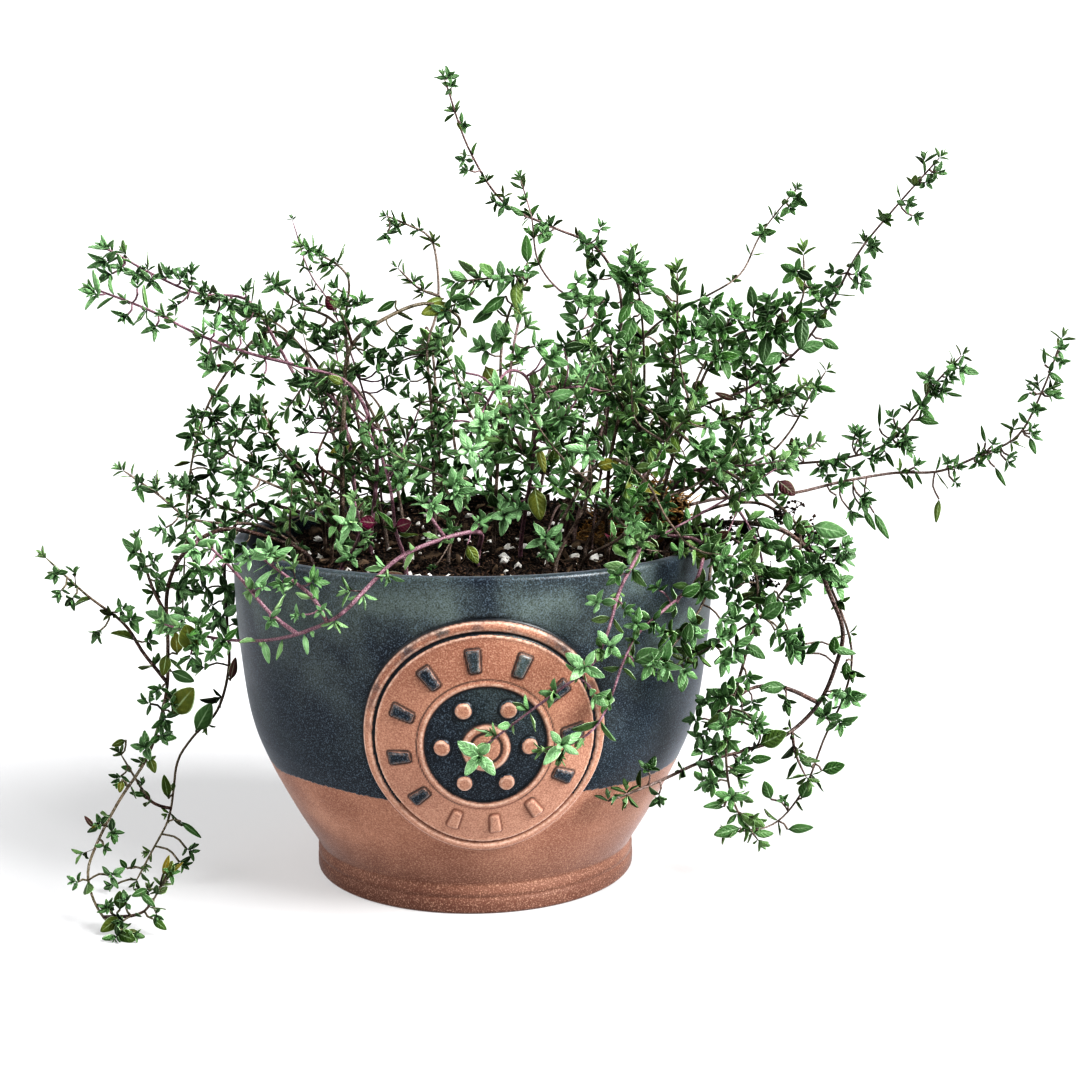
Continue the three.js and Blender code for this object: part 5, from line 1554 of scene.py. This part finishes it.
# For each spray, the stars on it: x and z of the middle, leaf length (mm), and youth
STARS = read_spots("""
left_pink: -103 172 6.7 .5, -95 166 5 .3, -92 173 3.9 .3, -87 163 5 .3, -71 162 5.6 .5, -73 155 4.7 .2,
    -49 152 3.9 .1, -29 124 4.6 .4, -23 133 4.3 .3, -64 160 5 .1, -27 118 4.6 .2, -30 100 4.1 .4,
    -58 149 5 .1, -56 155 4.8 .2;
left_high: -104 181 6.3 .4, -81 176 4.9 .2, -85 168 4 .2, -76 169 5.2 .2, -70 168 4.6 .2, -66 171 4.6 .2,
    -68 162 5.8 .2, -49 144 5.3 .2, -50 137 5.3 .2, -48 131 5.3 .1, -50 145 5.9 .2, -45 142 4.7 .2,
    -46 135 5.3 .1, -41 134 4.7 .1, -66 168 4.9 .3, -62 165 4.9 .2, -71 169 4.9 .3, -104 184 5.4 .5,
    -100 179 5.4 .4, -103 177 5.1 .4, -96 177 5.2 .3, -88 176 5.2 .3, -84 175 5.2 .3, -78 171 5.2 .3,
    -74 166 5.2 .3, -92 175 4.9 .3;
left_upright: -59 173 5.3 .4, -48 183 4.9 .3, -42 179 4.1 .1, -45 182 3.8 .2, -36 167 3.5 .2,
    -51 168 3.9 .2, -38 163 4.4 .2, -37 145 5.3 .3, -34 168 4.7 .2, -56 165 4.7 .2, -45 161 4.7 .2,
    -40 172 4.4 .2, -38 168 4.7 .2, -36 162 5 .2, -46 161 5 .2, -51 163 4.7 .2;
thin_purple: -47 167 4.2 .2, -45 156 5.4 .2, -35 146 4.2 .2, -30 147 4.2 .1, -36 146 3.6 .1,
    -41 157 5.1 .1, -26 146 5.1 .1, -28 142 5.1 .2;
brown_loop: -37 100 5.2 .6, -38 129 4.3 .1, -23 150 3.6 .1, -27 155 3.5 .1, -38 100 4.1 .6,
    -21 152 4.8 .2, -29 162 4.9 .2, -22 160 5.2 .2, -41 113 4.9 .1, -37 124 4.6 .1, -5 168 5.3 .3,
    -8 166 5 .2, -28 153 4.9 .1, -31 155 4.6 .1;
mid_upright: -13 126 5.4 .5, -15 149 4.2 .2, -10 146 4.2 .2, -21 155 4.2 .1, -19 140 4.8 .3,
    -10 141 4.8 .3, -6 140 4.8 .3, -12 135 6 .2, -17 131 4.8 .2, -22 134 4.5 .2, -11 130 6 .1,
    -10 117 5.4 .4, -15 116 6 .4, -15 123 5.4 .4, -10 124 4.8 .4, -14 111 5.4 .4, -19 145 5.1 .2,
    -22 190 4.1 .2, -25 188 3.8 .2;
tall: 37 189 3.5 .2, 33 185 4.1 .4, 36 185 4.1 .2, 37 135 4.8 .3, 45 155 4.8 .2, 40 168 5 .2,
    37 175 4.7 .2, 36 181 4.4 .2, 22 190 4.1 .3, 9 196 3.8 .2, -2 209 3.5 .2, -1 206 3.5 .2,
    -7 232 3.4 .2, -6 229 3.4 .2, -3 219 3.5 .2;
thin_tall: 36 149 6.4 .7, 30 174 4.3 .2, 30 170 5.2 .2, 37 145 5.8 .6, 30 155 4.6 .3, 34 168 4.6 .2,
    38 153 5.2 .2, 27 157 5.5 .2, 31 161 5.5 .2, 35 156 5.2 .2, 37 163 5.2 .2, 41 158 5.2 .2,
    20 188 3.7 .3;
mid_leafy: 9 108 6.4 .9, 16 177 3.9 .3, 9 176 4.4 .3, 6 125 5.7 .4, 10 127 5.2 .5, 4 106 4.6 .6,
    4 156 5.3 .3, 9 159 5 .3, 0 171 4.7 .2;
front_fuzzy: 1 133 6.2 .9, 4 138 5.2 .8, 14 112 5.1 .8, 8 148 4.8 .7, 17 122 5 .4, 2 147 3.7 .5,
    -3 140 4.7 .3, 4 140 5.8 .8, 7 141 4.7 .8, 16 141 4.9 .4, 19 137 4.9 .3, 21 135 5.5 .1, 4 131 4.2 .5,
    12 114 4.5 .7, 22 155 5.1 .3;
grey_arch: 21 105 6.1 .8, 25 117 5.2 .5, 11 134 4.5 .4, 12 139 5 .5, 21 101 3.9 .8, 13 155 5.2 .2,
    18 158 5.5 .2;
pink_mid: 25 139 6 .6, 30 149 5.5 .5, 33 144 5 .5, 41 141 5.1 .3, 45 134 5.8 0, 46 97 5.4 .4,
    49 126 5.3 0;
right_fall: 72 78 7.4 .3, 66 129 5.6 .2, 89 89 3.9 .2, 87 87 3.9 .2, 91 92 5 .1, 90 96 5 0, 72 84 5.5 .2,
    77 83 4.4 .2, 86 80 6.6 .2, 69 75 5.4 .3, 58 73 4.8 .4, 45 139 4.5 .2, 50 134 5 .1, 64 129 6.1 .2,
    69 125 5.6 .2, 78 118 3.9 .3, 84 81 5.2 .2, 87 78 5 .3, 43 130 5.1 .2, 89 102 5.5 .3, 91 98 5.3 .2,
    89 76 5.5 .3, 68 80 5.2 .4;
brown_hoop: 94 74 8 .3, 71 56 5.5 .3, 68 47 5.5 .4, 99 94 6.2 .3, 105 98 5.1 .3, 66 40 5 .3, 52 37 4.6 .1,
    49 44 4.4 0, 82 103 5.1 .2, 76 57 5.6 .2, 66 60 5.5 .3, 63 56 4.4 .3, 65 52 5 .3, 81 50 3.9 .1,
    79 59 4.5 .2, 64 48 5 .3, 75 44 4.5 .2, 89 58 3.4 .1, 67 43 5 .3, 74 43 4.5 .3, 64 40 5 .3,
    103 59 4.5 .4, 95 97 5.7 .3, 100 100 5.7 .2, 103 96 5.7 .3, 97 94 5.4 .3, 105 101 5.4 .3,
    88 101 5.4 .3, 95 71 5.7 .3;
thin_hoop: 109 56 5.3 .4, 107 48 5.9 .3, 106 88 5.3 .3, 64 103 6 .4, 91 24 2.9 .2, 110 54 4.7 .5,
    99 100 5.6 .2, 104 88 5.8 .3, 103 49 5.6 .3;
right_leafy_fall: 76 69 4.6 .2, 69 64 6 .2, 78 57 4.9 .2, 76 95 5.6 .3, 72 36 4.9 .3, 73 91 4.4 .3,
    75 87 5 .2, 71 64 6 .2, 70 56 4.9 .3, 77 56 4.9 .2, 67 40 4.4 .3;
lilac_fall: 25 59 6.4 .8, 45 87 4.7 .3, 63 94 5.4 .2, 51 95 3.7 0;
medal_fall: 4 58 6.6 .8, 31 80 6.1 .7, 33 73 5.1 .5, 35 95 4.6 .5, 37 85 5.1 .5, 44 102 4.4 .4,
    45 100 4.2 .2, 40 101 4.1 .2, 41 93 3.6 .2;
pink_front: -73 106 6.4 .8, -67 100 4.5 .2, -48 109 5.8 .8, -68 78 4.3 .5, -9 118 5.2 .7, -71 100 4.3 .1,
    -72 81 4.3 .3, -51 89 3.7 .6, -54 96 3.4 .7, -45 102 4 .3, -38 102 5 .2, -41 93 3.5 .7, -36 94 3 .7,
    -53 108 4 .7, 3 111 3.8 .5, -72 84 5.1 .1, -65 81 4.8 .1, -75 76 4.9 .1, -73 80 4.9 .1,
    -62 102 4.8 .2;
short_fuzzy: -30 113 5.8 .8, -31 103 4.3 .6;
purple_curl: -18 127 5.4 .6, -20 125 4.9 .5, -18 122 4.9 .6;
left_mid: -59 138 6.8 .1, -56 129 4.5 .2, -50 125 4.8 .1, -45 119 5.2 .1, -62 138 5.1 .1, -60 133 5.4 .1,
    -57 129 5.1 .1, -66 134 5.1 .1;
left_front: -60 123 5.6 .6, -60 119 5.4 .6, -48 118 4.9 .5, -62 125 4.8 .1, -58 120 4.8 .2,
    -49 120 4.9 .2, -46 117 4.6 .1;
long_left_fall: -76 149 6.5 .3, -71 149 4.2 .1, -76 141 4.7 .1, -81 135 5.3 .1, -47 155 5.4 .2,
    -84 88 5.5 .1, -54 160 4.8 .2, -57 157 4.8 .2, -65 155 4.5 .2, -72 138 5.3 .2, -78 124 5.9 .2,
    -82 130 5.3 .1, -82 118 5.3 .1, -77 120 4.7 .1, -82 86 4.7 .1, -84 79 4.7 .4, -77 136 5.3 .1,
    -86 101 5.2 .2;
trail_front: -91 102 5.2 .2, -85 83 6.1 .7, -94 83 5 .1, -91 46 5 .2, -101 21 2.8 .1, -107 13 3.3 .2,
    -98 15 4.1 .2, -93 5 3.2 .1, -84 7 2.7 .1, -66 105 5 .2, -63 103 5 0, -81 91 5 .1, -87 99 3.8 .1,
    -86 94 3.9 .1, -90 97 3.8 .1, -84 80 5 .6, -90 76 3.3 .1, -57 101 5 .8, -50 98 3.9 .6, -99 25 4.4 .1,
    -102 27 4.2 .1, -94 2 4 .1, -76 98 5.3 .1, -90 58 4.5 .1, -86 54 4.5 .1, -87 49 4.5 .1, -84 58 4.2 .2,
    -87 62 4.2 .1, -80 18 3.8 .1, -97 8 3.5 .1, -92 10 3.5 .1, -112 97 3.8 .2, -111 92 3.5 .2,
    -102 80 4.1 .1, -108 90 3.6 .1, -96 86 3.9 .1;
trail_back: -77 74 6.1 .6, -102 33 3.8 0, -103 3 3.5 .1, -72 71 4.9 .6, -74 81 4.3 .6, -56 101 4.3 .4,
    -64 106 5.5 .2, -82 82 5.8 .1, -80 77 5.5 .1, -82 59 5.4 .2, -78 72 5.5 .1, -86 7 4.4 .1,
    -84 10 4.1 .1, -76 82 5.5 .2;
left_tip: -94 118 4.8 .2, -87 106 5.7 .4, -89 116 4 .1, -73 105 4.6 .1, -71 106 5.1 .2, -81 108 5.1 .2;
right_far: 115 111 5.4 .2, 168 155 4.3 .3, 166 142 4 .3, 161 143 2.6 .2, 161 132 2.9 .3, 151 127 3.2 .3,
    156 124 2.6 .3, 139 121 3.8 .3, 141 116 2.9 .3, 130 120 3.8 .3, 115 111 4.8 .4, 141 120 4.1 .3,
    147 122 3.8 .3, 151 125 3.8 .3, 155 123 3.8 .3, 161 131 3.8 .3, 162 138 3.7 .3, 168 152 3.7 .3,
    109 114 4.2 .3, 112 107 5.4 .3;
right_far_low: 98 123 4.9 .3, 116 127 5.5 .2, 128 126 5.4 .2, 88 116 6.1 .6, 144 149 6 .3, 136 145 4.8 .3,
    139 142 4.5 .3, 134 137 5.7 .3, 126 133 3.9 .3, 127 130 3.6 .3, 130 128 4.5 .3, 130 124 3.6 .3,
    115 128 4.5 .3, 117 124 3.9 .3, 101 123 3.7 .3, 122 121 3 .3, 105 118 4.3 .3, 109 119 4 .3,
    76 113 4.9 .2, 84 116 4.9 .3, 93 118 4.9 .4, 110 120 4.3 .3, 114 118 4.6 .3, 120 122 4.5 .3,
    124 125 4.2 .3, 107 116 4.3 .3, 137 141 4.2 .3, 141 146 4.5 .3;
right_twig: 97 135 5.6 .1, 105 142 5.6 .3, 89 123 5 .2, 89 127 4.4 .3, 80 117 5.6 .2, 63 112 5 .3,
    93 136 5.9 .2;
right_high: 100 170 5.8 .1, 110 177 5.2 .2, 114 185 4.3 .3, 90 143 5.8 .2, 86 145 5.5 .2, 72 136 4.7 .4,
    86 148 4.7 .2, 99 164 5.2 .2, 104 173 4 .3, 104 177 3.4 0, 111 174 4 .4, 103 167 3.5 .1,
    86 142 5.6 .2, 123 196 3.7 .2, 125 193 3.7 .2, 131 205 3.4 .2, 128 202 3.4 .2;
right_bushy: 50 103 5.5 .7, 92 178 5.9 .1, 84 165 6.8 0, 88 160 5.1 .1, 71 154 6.3 .1, 75 158 4.5 .1,
    79 158 4 .1, 90 168 4.5 .1, 92 166 4.5 0, 96 173 4 .1, 85 169 4.8 .2, 82 162 5.7 0, 86 161 5.7 0;
back_high: 86 188 4.2 .2, 71 165 6 .2, 58 163 5.4 .2, 41 131 6.1 .3, 47 150 4.8 .3, 46 145 5.4 .4,
    70 163 5.4 .1, 71 168 5.1 .2, 67 166 5.1 .2, 96 199 4.2 .2, 94 196 3.9 .2;
crown_back: 46 179 5.8 .2, 49 138 6 .4, 48 178 4.1 .4, 46 123 6 0, 45 175 4.7 .2, 49 174 4.7 .2,
    50 141 5.4 .2, 47 119 6.1 0;
crown_middle: 62 164 5.1 .1, 52 129 5.7 .3, 41 109 4 .1, 54 154 5.1 .2, 57 143 5.1 .3, 59 146 4.5 .2,
    55 136 5.1 .1, 57 139 4.6 .3, 44 117 5.2 0, 59 161 5.3 .1, 63 159 5.3 .1;
crown_right: 72 166 5.5 0, 63 155 5 .2, 55 113 5.1 .4, 52 106 4 .6, 63 144 4.5 .2, 59 124 5.1 .2,
    68 155 5.5 0, 70 162 5 0, 73 165 4.9 .1, 66 162 5 .2;
right_short: 80 152 5.7 .1, 83 137 5.4 .3, 86 133 4.5 .3, 78 125 5.5 .2, 82 125 5.5 .3, 78 130 4.8 .2,
    83 128 5.5 .1, 83 146 4.8 .2, 85 152 4.8 .2;
front_right: 64 137 4.3 .3;
front_middle: 44 113 4.2 .5, 43 109 3.7 .4, 43 115 3.7 .2, 51 130 4.7 .1, 45 121 4.2 0;
low_front: 68 103 5.3 .3, 43 124 4.9 .3, 42 123 4.9 0, 24 102 3.9 .6, 69 99 4.3 .3, 72 102 5.3 .1;
lilac_drop: 62 120 5.2 .1, 50 97 4.7 .6, 83 102 5.3 .2;
rim_right: 52 78 6.5 .5, 60 84 4.8 .5, 55 96 4 .3, 59 97 5.1 .2, 68 102 5 .3, 68 86 4.3 .3, 60 86 4.3 .5,
    49 78 5.2 .4, 52 84 3.2 .3;
left_arch: -73 129 5.7 .3, -57 119 4.9 .4, -68 130 5.2 .3, -73 124 4.6 .3, -62 122 5.2 0, -61 121 4.9 .1,
    -64 126 5.2 .1;
left_low: -82 116 5.2 .4, -57 103 5.6 .5, -75 114 5.2 .1, -85 118 4 .2, -75 114 5.2 .1, -68 107 5.2 .1,
    -52 97 3.6 .5, -76 110 5.5 .2;
front_left: -3 121 6.2 .8, -3 123 4.8 .6, 0 119 3.8 .6, -5 107 4.4 .4, -10 92 2.8 .3;
front_bright: 32 132 5.8 .8, 27 126 4.8 .2;
back_1: 34 123 5.7 .2;
back_2: 25 120 5.6 .2;
back_3: 13 107 5.4 .2;
back_4: 7 113 5.4 .1, -1 111 5.7 .1, 4 108 5.3 .2, 9 114 5.7 .1;
back_5: -7 114 5.5 .2;
back_6: -17 109 5.6 .1, -11 112 5.6 .2, -13 117 5.3 .1;
back_7: -21 113 5.4 .2, -24 105 5.1 .1;
back_8: -30 115 5.3 .2, -25 111 5.6 .1;
back_9: -39 114 5.6 .1, -34 109 5.6 .1""")
# And single leaves: x and z of the stalk end, angle from +X up, length, breadth, tone, youth, flush
LONE_LEAVES = read_spots("""
left_pink: -31 134 280 7.4 .5 .5 .4 0, -28 104 170 5.2 .95 .3 0 1, -36 145 150 5.1 .55 .6 .1 -.4;
left_high: -36 126 200 6.5 .5 1 .4 -.9;
left_upright: -36 161 190 6.5 .5 .5 .2 0;
thin_purple: -42 164 120 5.4 .8 .3 0 .8;
brown_loop: -7 167 200 8.8 .55 .9 .2 -.6, -22 168 210 6.3 .4 .3 0 0;
mid_upright: -9 168 195 5.9 .5 .9 .3 -.5;
tall: 45 164 80 7.7 .5 .5 .2 0, 35 182 255 5.9 .45 .4 .1 -.2, 23 188 225 5.3 .6 .4 .1 0,
    15 192 145 5.3 .4 .5 .2 0;
thin_tall: 31 162 160 6.4 .5 .4 .3 0, 38 168 178 7.5 .5 .5 .1 0, 30 164 130 5.2 .6 .5 .2 0;
mid_leafy: 7 167 215 7.8 .42 .3 .1 0, 13 167 80 6.1 .5 .7 .1 -.3, 4 150 300 6.8 .75 .3 0 -.35,
    7 156 90 6.7 .45 .5 .5 0, 16 179 92 8 .42 .7 .1 0, 10 170 215 8.3 .45 .5 .1 0,
    13 174 270 7.7 .5 .8 .2 -.35, 13 168 280 5 .5 .8 .1 -.5;
front_fuzzy: 20 154 350 7.5 .55 .5 .3 0, 0 151 120 5.8 .4 .5 .1 0, 18 146 95 4.9 .55 .8 .3 -.2,
    19 129 285 7.7 .35 1 .5 -.8, 22 130 60 5.5 .5 .5 .5 0, 18 117 280 9.5 .6 .7 .1 -.55;
grey_arch: 23 122 80 5.1 .7 .5 .1 -.3;
pink_mid: 26 156 10 6 .6 .15 0 0, 22 143 15 7.1 .55 .6 .4 0;
right_fall: 95 107 350 10 .55 .45 .3 0, 88 111 280 5.6 .55 .4 .2 0, 84 90 250 6.6 .5 .5 .2 0,
    87 90 20 5.5 .5 .6 .1 0, 80 83 40 7.7 .6 .5 .2 0, 58 71 265 5.4 .6 .4 .2 0, 53 74 245 5.3 .45 .5 .3 0;
brown_hoop: 81 107 340 7.4 .45 .5 .2 0, 89 61 180 7.9 .5 .4 .2 0, 89 58 280 5.7 .4 .4 .1 0,
    81 46 30 8.4 .65 .6 .1 -.2, 86 47 150 5.6 .4 .4 .1 0, 103 69 90 5.7 .6 .5 0 0,
    102 71 350 7.4 .35 .5 .4 0, 78 42 10 6.2 .45 .5 .1 0;
thin_hoop: 109 64 270 5.8 .5 .5 0 0, 102 32 20 7 .6 .6 .1 0, 99 33 130 6.4 .45 .4 .1 0,
    96 24 70 6.4 .7 .5 .1 0, 87 24 110 6.4 .6 .4 .1 0, 92 15 10 7.6 .4 .5 .2 0, 78 16 190 8.2 .5 .5 .2 0;
right_leafy_fall: 70 33 185 6 .35 .5 .2 0, 76 76 325 6.6 .5 .5 .2 0, 72 43 0 6 .45 .5 .1 0,
    70 32 175 4.9 .3 .4 .1 0;
lilac_fall: 44 77 30 7.3 .65 .4 .2 0, 56 90 200 5.3 .65 .4 .1 0, 57 92 30 5.9 .6 .6 .1 0;
pink_front: 0 105 300 5.9 .6 .6 0 -.4, -74 76 100 8.1 .85 .6 0 -.45, -53 82 285 6.3 .35 .7 .7 0,
    -41 86 280 5.6 .3 .7 .8 0, -56 95 45 7.4 .3 .8 .8 0;
purple_curl: -20 108 20 4.9 .95 .3 0 .9, -17 91 190 8.3 .3 .6 .4 .7;
trail_front: -85 71 260 6.2 .6 .4 0 -.3, -84 66 340 7.3 .5 .3 .1 0, -84 54 50 10.7 .7 .5 0 -.4,
    -82 71 90 6.7 .6 .5 0 -.6, -92 41 155 3.4 .3 .3 0 0, -90 42 290 4.5 .6 .4 0 -.3,
    -97 37 260 3.6 .6 .5 0 -.6, -104 25 120 4.4 .35 .2 0 .5, -102 26 200 2.8 .5 .4 0 -.8,
    -94 7 85 5.9 .65 .4 0 -.1, -82 17 70 6.5 .3 .5 0 -1, -81 17 40 6.5 .22 .3 0 -1,
    -82 17 55 5.4 .4 .5 0 -.5, -81 16 60 4.8 .5 .4 0 -.2, -86 13 200 4.8 .5 .4 .1 0,
    -88 12 320 5.4 .4 .4 .1 0, -94 5 215 6.5 .6 .5 0 -.3, -94 2 300 5.9 .7 .4 0 -.1,
    -85 5 325 4.9 .5 .5 0 -.1;
trail_back: -83 41 60 10.7 .55 .5 .1 0, -74 54 75 7.9 .35 .3 0 .5, -100 43 200 4.3 .5 .5 0 -.3,
    -95 26 165 4.9 .35 .4 0 0, -90 23 95 7.9 .38 .5 0 -.2, -86 17 325 7.9 .25 .5 .1 0,
    -100 6 120 3.5 .5 .4 0 0, -99 6 60 4 .3 .3 0 0;
right_far: 91 114 320 6.6 .75 .2 0 .5, 84 110 90 6.6 .5 .3 0 0, 137 110 262 7.1 .3 .5 .1 -.3,
    119 105 300 8.9 .3 .6 .2 0, 165 148 325 5.4 .4 .5 .1 0, 164 150 100 5.2 .25 .4 .1 0,
    164 142 0 5.2 .4 .5 .1 0, 160 142 215 4.6 .35 .5 .1 0, 160 133 130 4.6 .35 .5 .1 0,
    161 129 290 5.2 .4 .5 .1 0, 149 127 108 5.8 .22 .4 0 0, 152 120 300 6.4 .25 .5 0 0,
    128 117 290 4.7 .4 .5 0 0, 130 118 300 4.7 .25 .5 0 0, 116 106 300 7.2 .3 .6 .1 0,
    108 110 260 4.2 .35 .5 0 0;
right_far_low: 141 140 350 5.1 .25 .5 0 0, 133 132 350 6.6 .35 .6 .1 0, 122 129 93 7.9 .14 .4 0 0,
    97 121 100 4.9 .5 .4 0 .4, 124 122 300 5.5 .3 .4 0 0, 110 116 0 4.9 .2 .5 0 0;
right_high: 95 154 15 7 .6 .6 .4 0, 90 153 210 7 .55 .6 .3 0, 67 139 100 5.9 .6 .8 .1 -.3,
    77 139 160 7 .3 .5 0 .6, 101 157 330 5.8 .5 .5 .1 0, 98 163 340 6.4 .55 .4 .3 0;
right_bushy: 94 164 265 9.6 .5 .2 .1 0, 88 166 185 8.5 .5 .1 0 0, 84 159 260 8.5 .5 .25 .1 0,
    80 166 100 6.8 .5 .25 .1 0;
back_high: 58 160 105 5.4 .5 .5 .1 0;
crown_back: 50 167 290 7 .6 .5 .2 0, 47 163 250 8.2 .6 .6 .2 0, 47 172 150 8.8 .45 .6 .4 0,
    47 173 145 9.9 .35 .7 .1 0, 47 168 310 6.5 .55 .6 .2 0, 46 167 240 7 .5 .7 .1 0,
    48 176 10 5.8 .35 .5 .2 0;
crown_middle: 55 170 155 5.6 .4 .5 .1 0;
crown_right: 60 142 320 6.1 .45 .3 0 0;
low_front: 35 124 15 6.6 .6 1 .2 -.8;
lilac_drop: 82 94 350 8.4 .45 .5 .1 0;
rim_right: 58 80 80 6.3 .55 .4 .1 0""")
for kind, table in (("stars", STARS), ("single leaves", LONE_LEAVES)):
    print(sum(map(len, table.values())), kind)

# %% Sprigs
TO_FRONT = Vector((0, -1, 0))
SPRIG_RADIUS, SPRIG_LIFT = 0.3, 2.0
# A star's middle lies a little above the end of its twig, in lengths of its leaves
STAR_DROP = 0.25
STAR_OPENING, NEEDLE_CLOSING, YOUNG_OPENING, INNER_CLOSING = (56, 82), 16, 8, 15
BUD_GAP = 0.6


def sprig_end(form, look, frames, x, z):
    """A thin twig from the spray's nearest stem to a place beside it; returns its end and heading."""
    point, ahead, _ = min(frames, key=lambda near: math.hypot(near[0].x - x, near[0].z - z))
    end = Vector((x, point.y - SPRIG_LIFT, z))
    for _ in range(4):
        lack, way_out = pot_lack(end)
        end += way_out * lack
    gap = end - point
    corners = [point, point + gap * 0.5 - ahead * gap.length * 0.15, end]
    way = way_frames(even_way(corners, RING_STEP, 2))
    tint_layer = form.verts.layers.float_vector["tint"]
    for vert in grow_tube(form, way, [SPRIG_RADIUS] * len(way), 4):
        vert[tint_layer] = (look.wood * 0.5, look.purple, 0)
    return end, gap.normalized()


def add_star(form, rng, look, centre, axis, reach, youth):
    """A star of leaf pairs round a bud; the younger it is, the wider it opens to the light."""
    slim, needle = look.breadth < SLIM_BREADTH, look.breadth < NEEDLE_BREADTH
    axis = (axis + TO_FRONT * (0.3 + 0.7 * youth) + UP * (0.6 if needle else 0.25)).normalized()
    side = axis.orthogonal().normalized()
    closing = NEEDLE_CLOSING if needle else 0
    turn = rng.uniform(0, math.pi)
    for pair in range(4 if slim else 3):
        shapes = small_leaves if pair > 1 else large_leaves
        for half_turn in (0, math.pi):
            out = Matrix.Rotation(turn + half_turn + rng.gauss(0, 0.18), 3, axis) @ side
            degrees = rng.uniform(*STAR_OPENING) - closing + YOUNG_OPENING * youth - INNER_CLOSING * pair
            along, face = opened(axis, out, degrees)
            length = reach * rng.uniform(0.85, 1.15) * (1 - 0.15 * pair)
            width = length * (look.breadth + 0.04) * rng.uniform(0.9, 1.12)
            tint = Vector((rng.gauss(look.tone + 0.1, 0.2), youth + 0.08 * pair + rng.gauss(0, 0.06), 0))
            foot = centre + axis * BUD_GAP * pair
            add_leaves(form, rng.choice(shapes), foot, along, face, length, width, tint)
        turn += math.pi / 2
    tint = Vector((look.tone, min(youth + 0.3, 1), 0))
    add_leaves(form, TUFTS[True][0][1], centre + axis * 1.4, axis, side, reach * 0.4, reach * 0.4, tint)


def add_lone_leaf(form, foot, angle, length, breadth, tint):
    """One broad leaf that faces the front, at an angle in degrees above +X."""
    turn = math.radians(angle)
    along = Vector((math.cos(turn), 0, math.sin(turn))) + TO_FRONT * 0.25
    add_leaves(form, lone_leaf, foot, along, TO_FRONT + UP * 0.4, length, length * breadth, tint)


# %% Grow every spray
FLOOR_TOUCH = 0.15
FIRST_SEED = 700
BRANCH_BARE, BRANCH_THICKNESS = 5, 0.8
BARE_ABOVE_SOIL = (3, 12)

for number, name in enumerate(all_routes):
    rng = random.Random(FIRST_SEED + number)
    look = LOOKS.get(name, USUAL_LOOK)
    spray = bmesh.new()
    spray.verts.layers.float_vector.new("place")
    spray.verts.layers.float_vector.new("tint")
    own_stems = [stem for stem in laid if stem["name"] == name]
    for stem in own_stems:
        if stem["trunk"]:
            dress_stem(spray, rng, look, stem["points"], BRANCH_BARE, BRANCH_THICKNESS, look.twigs)
        else:
            bare = ROOT_DEPTH + FOOT_TOP + rng.uniform(*BARE_ABOVE_SOIL)
            dress_stem(spray, rng, look, stem["points"], bare, 1, look.twigs)
            add_shoots(spray, rng, look, stem["points"])
    ways = [spot for stem in own_stems for spot in way_frames(stem["points"])[stem["held"]:]]
    for x, z, reach, youth in STARS.get(name, []):
        end, heading = sprig_end(spray, look, ways, x, z - STAR_DROP * reach)
        add_star(spray, rng, look, end, heading, reach, youth)
    for x, z, angle, length, breadth, *tint in LONE_LEAVES.get(name, []):
        end, heading = sprig_end(spray, look, ways, x, z)
        add_lone_leaf(spray, end, angle, length, breadth, Vector(tint))
    for vert in spray.verts:
        vert.co.z = max(vert.co.z, FLOOR_TOUCH)
    finish_piece(f"thyme_{name}", spray, [stem_skin, leaf_skin], [f"spray_{name}"])
sprays = {name: count for name, count in pieces_made.items() if name.startswith("thyme_")}
print("sprays:", sum(sprays.values()), "triangles, the largest", max(sprays.values()))

# %% Sizes and finish
print("triangles in all:", sum(pieces_made.values()))
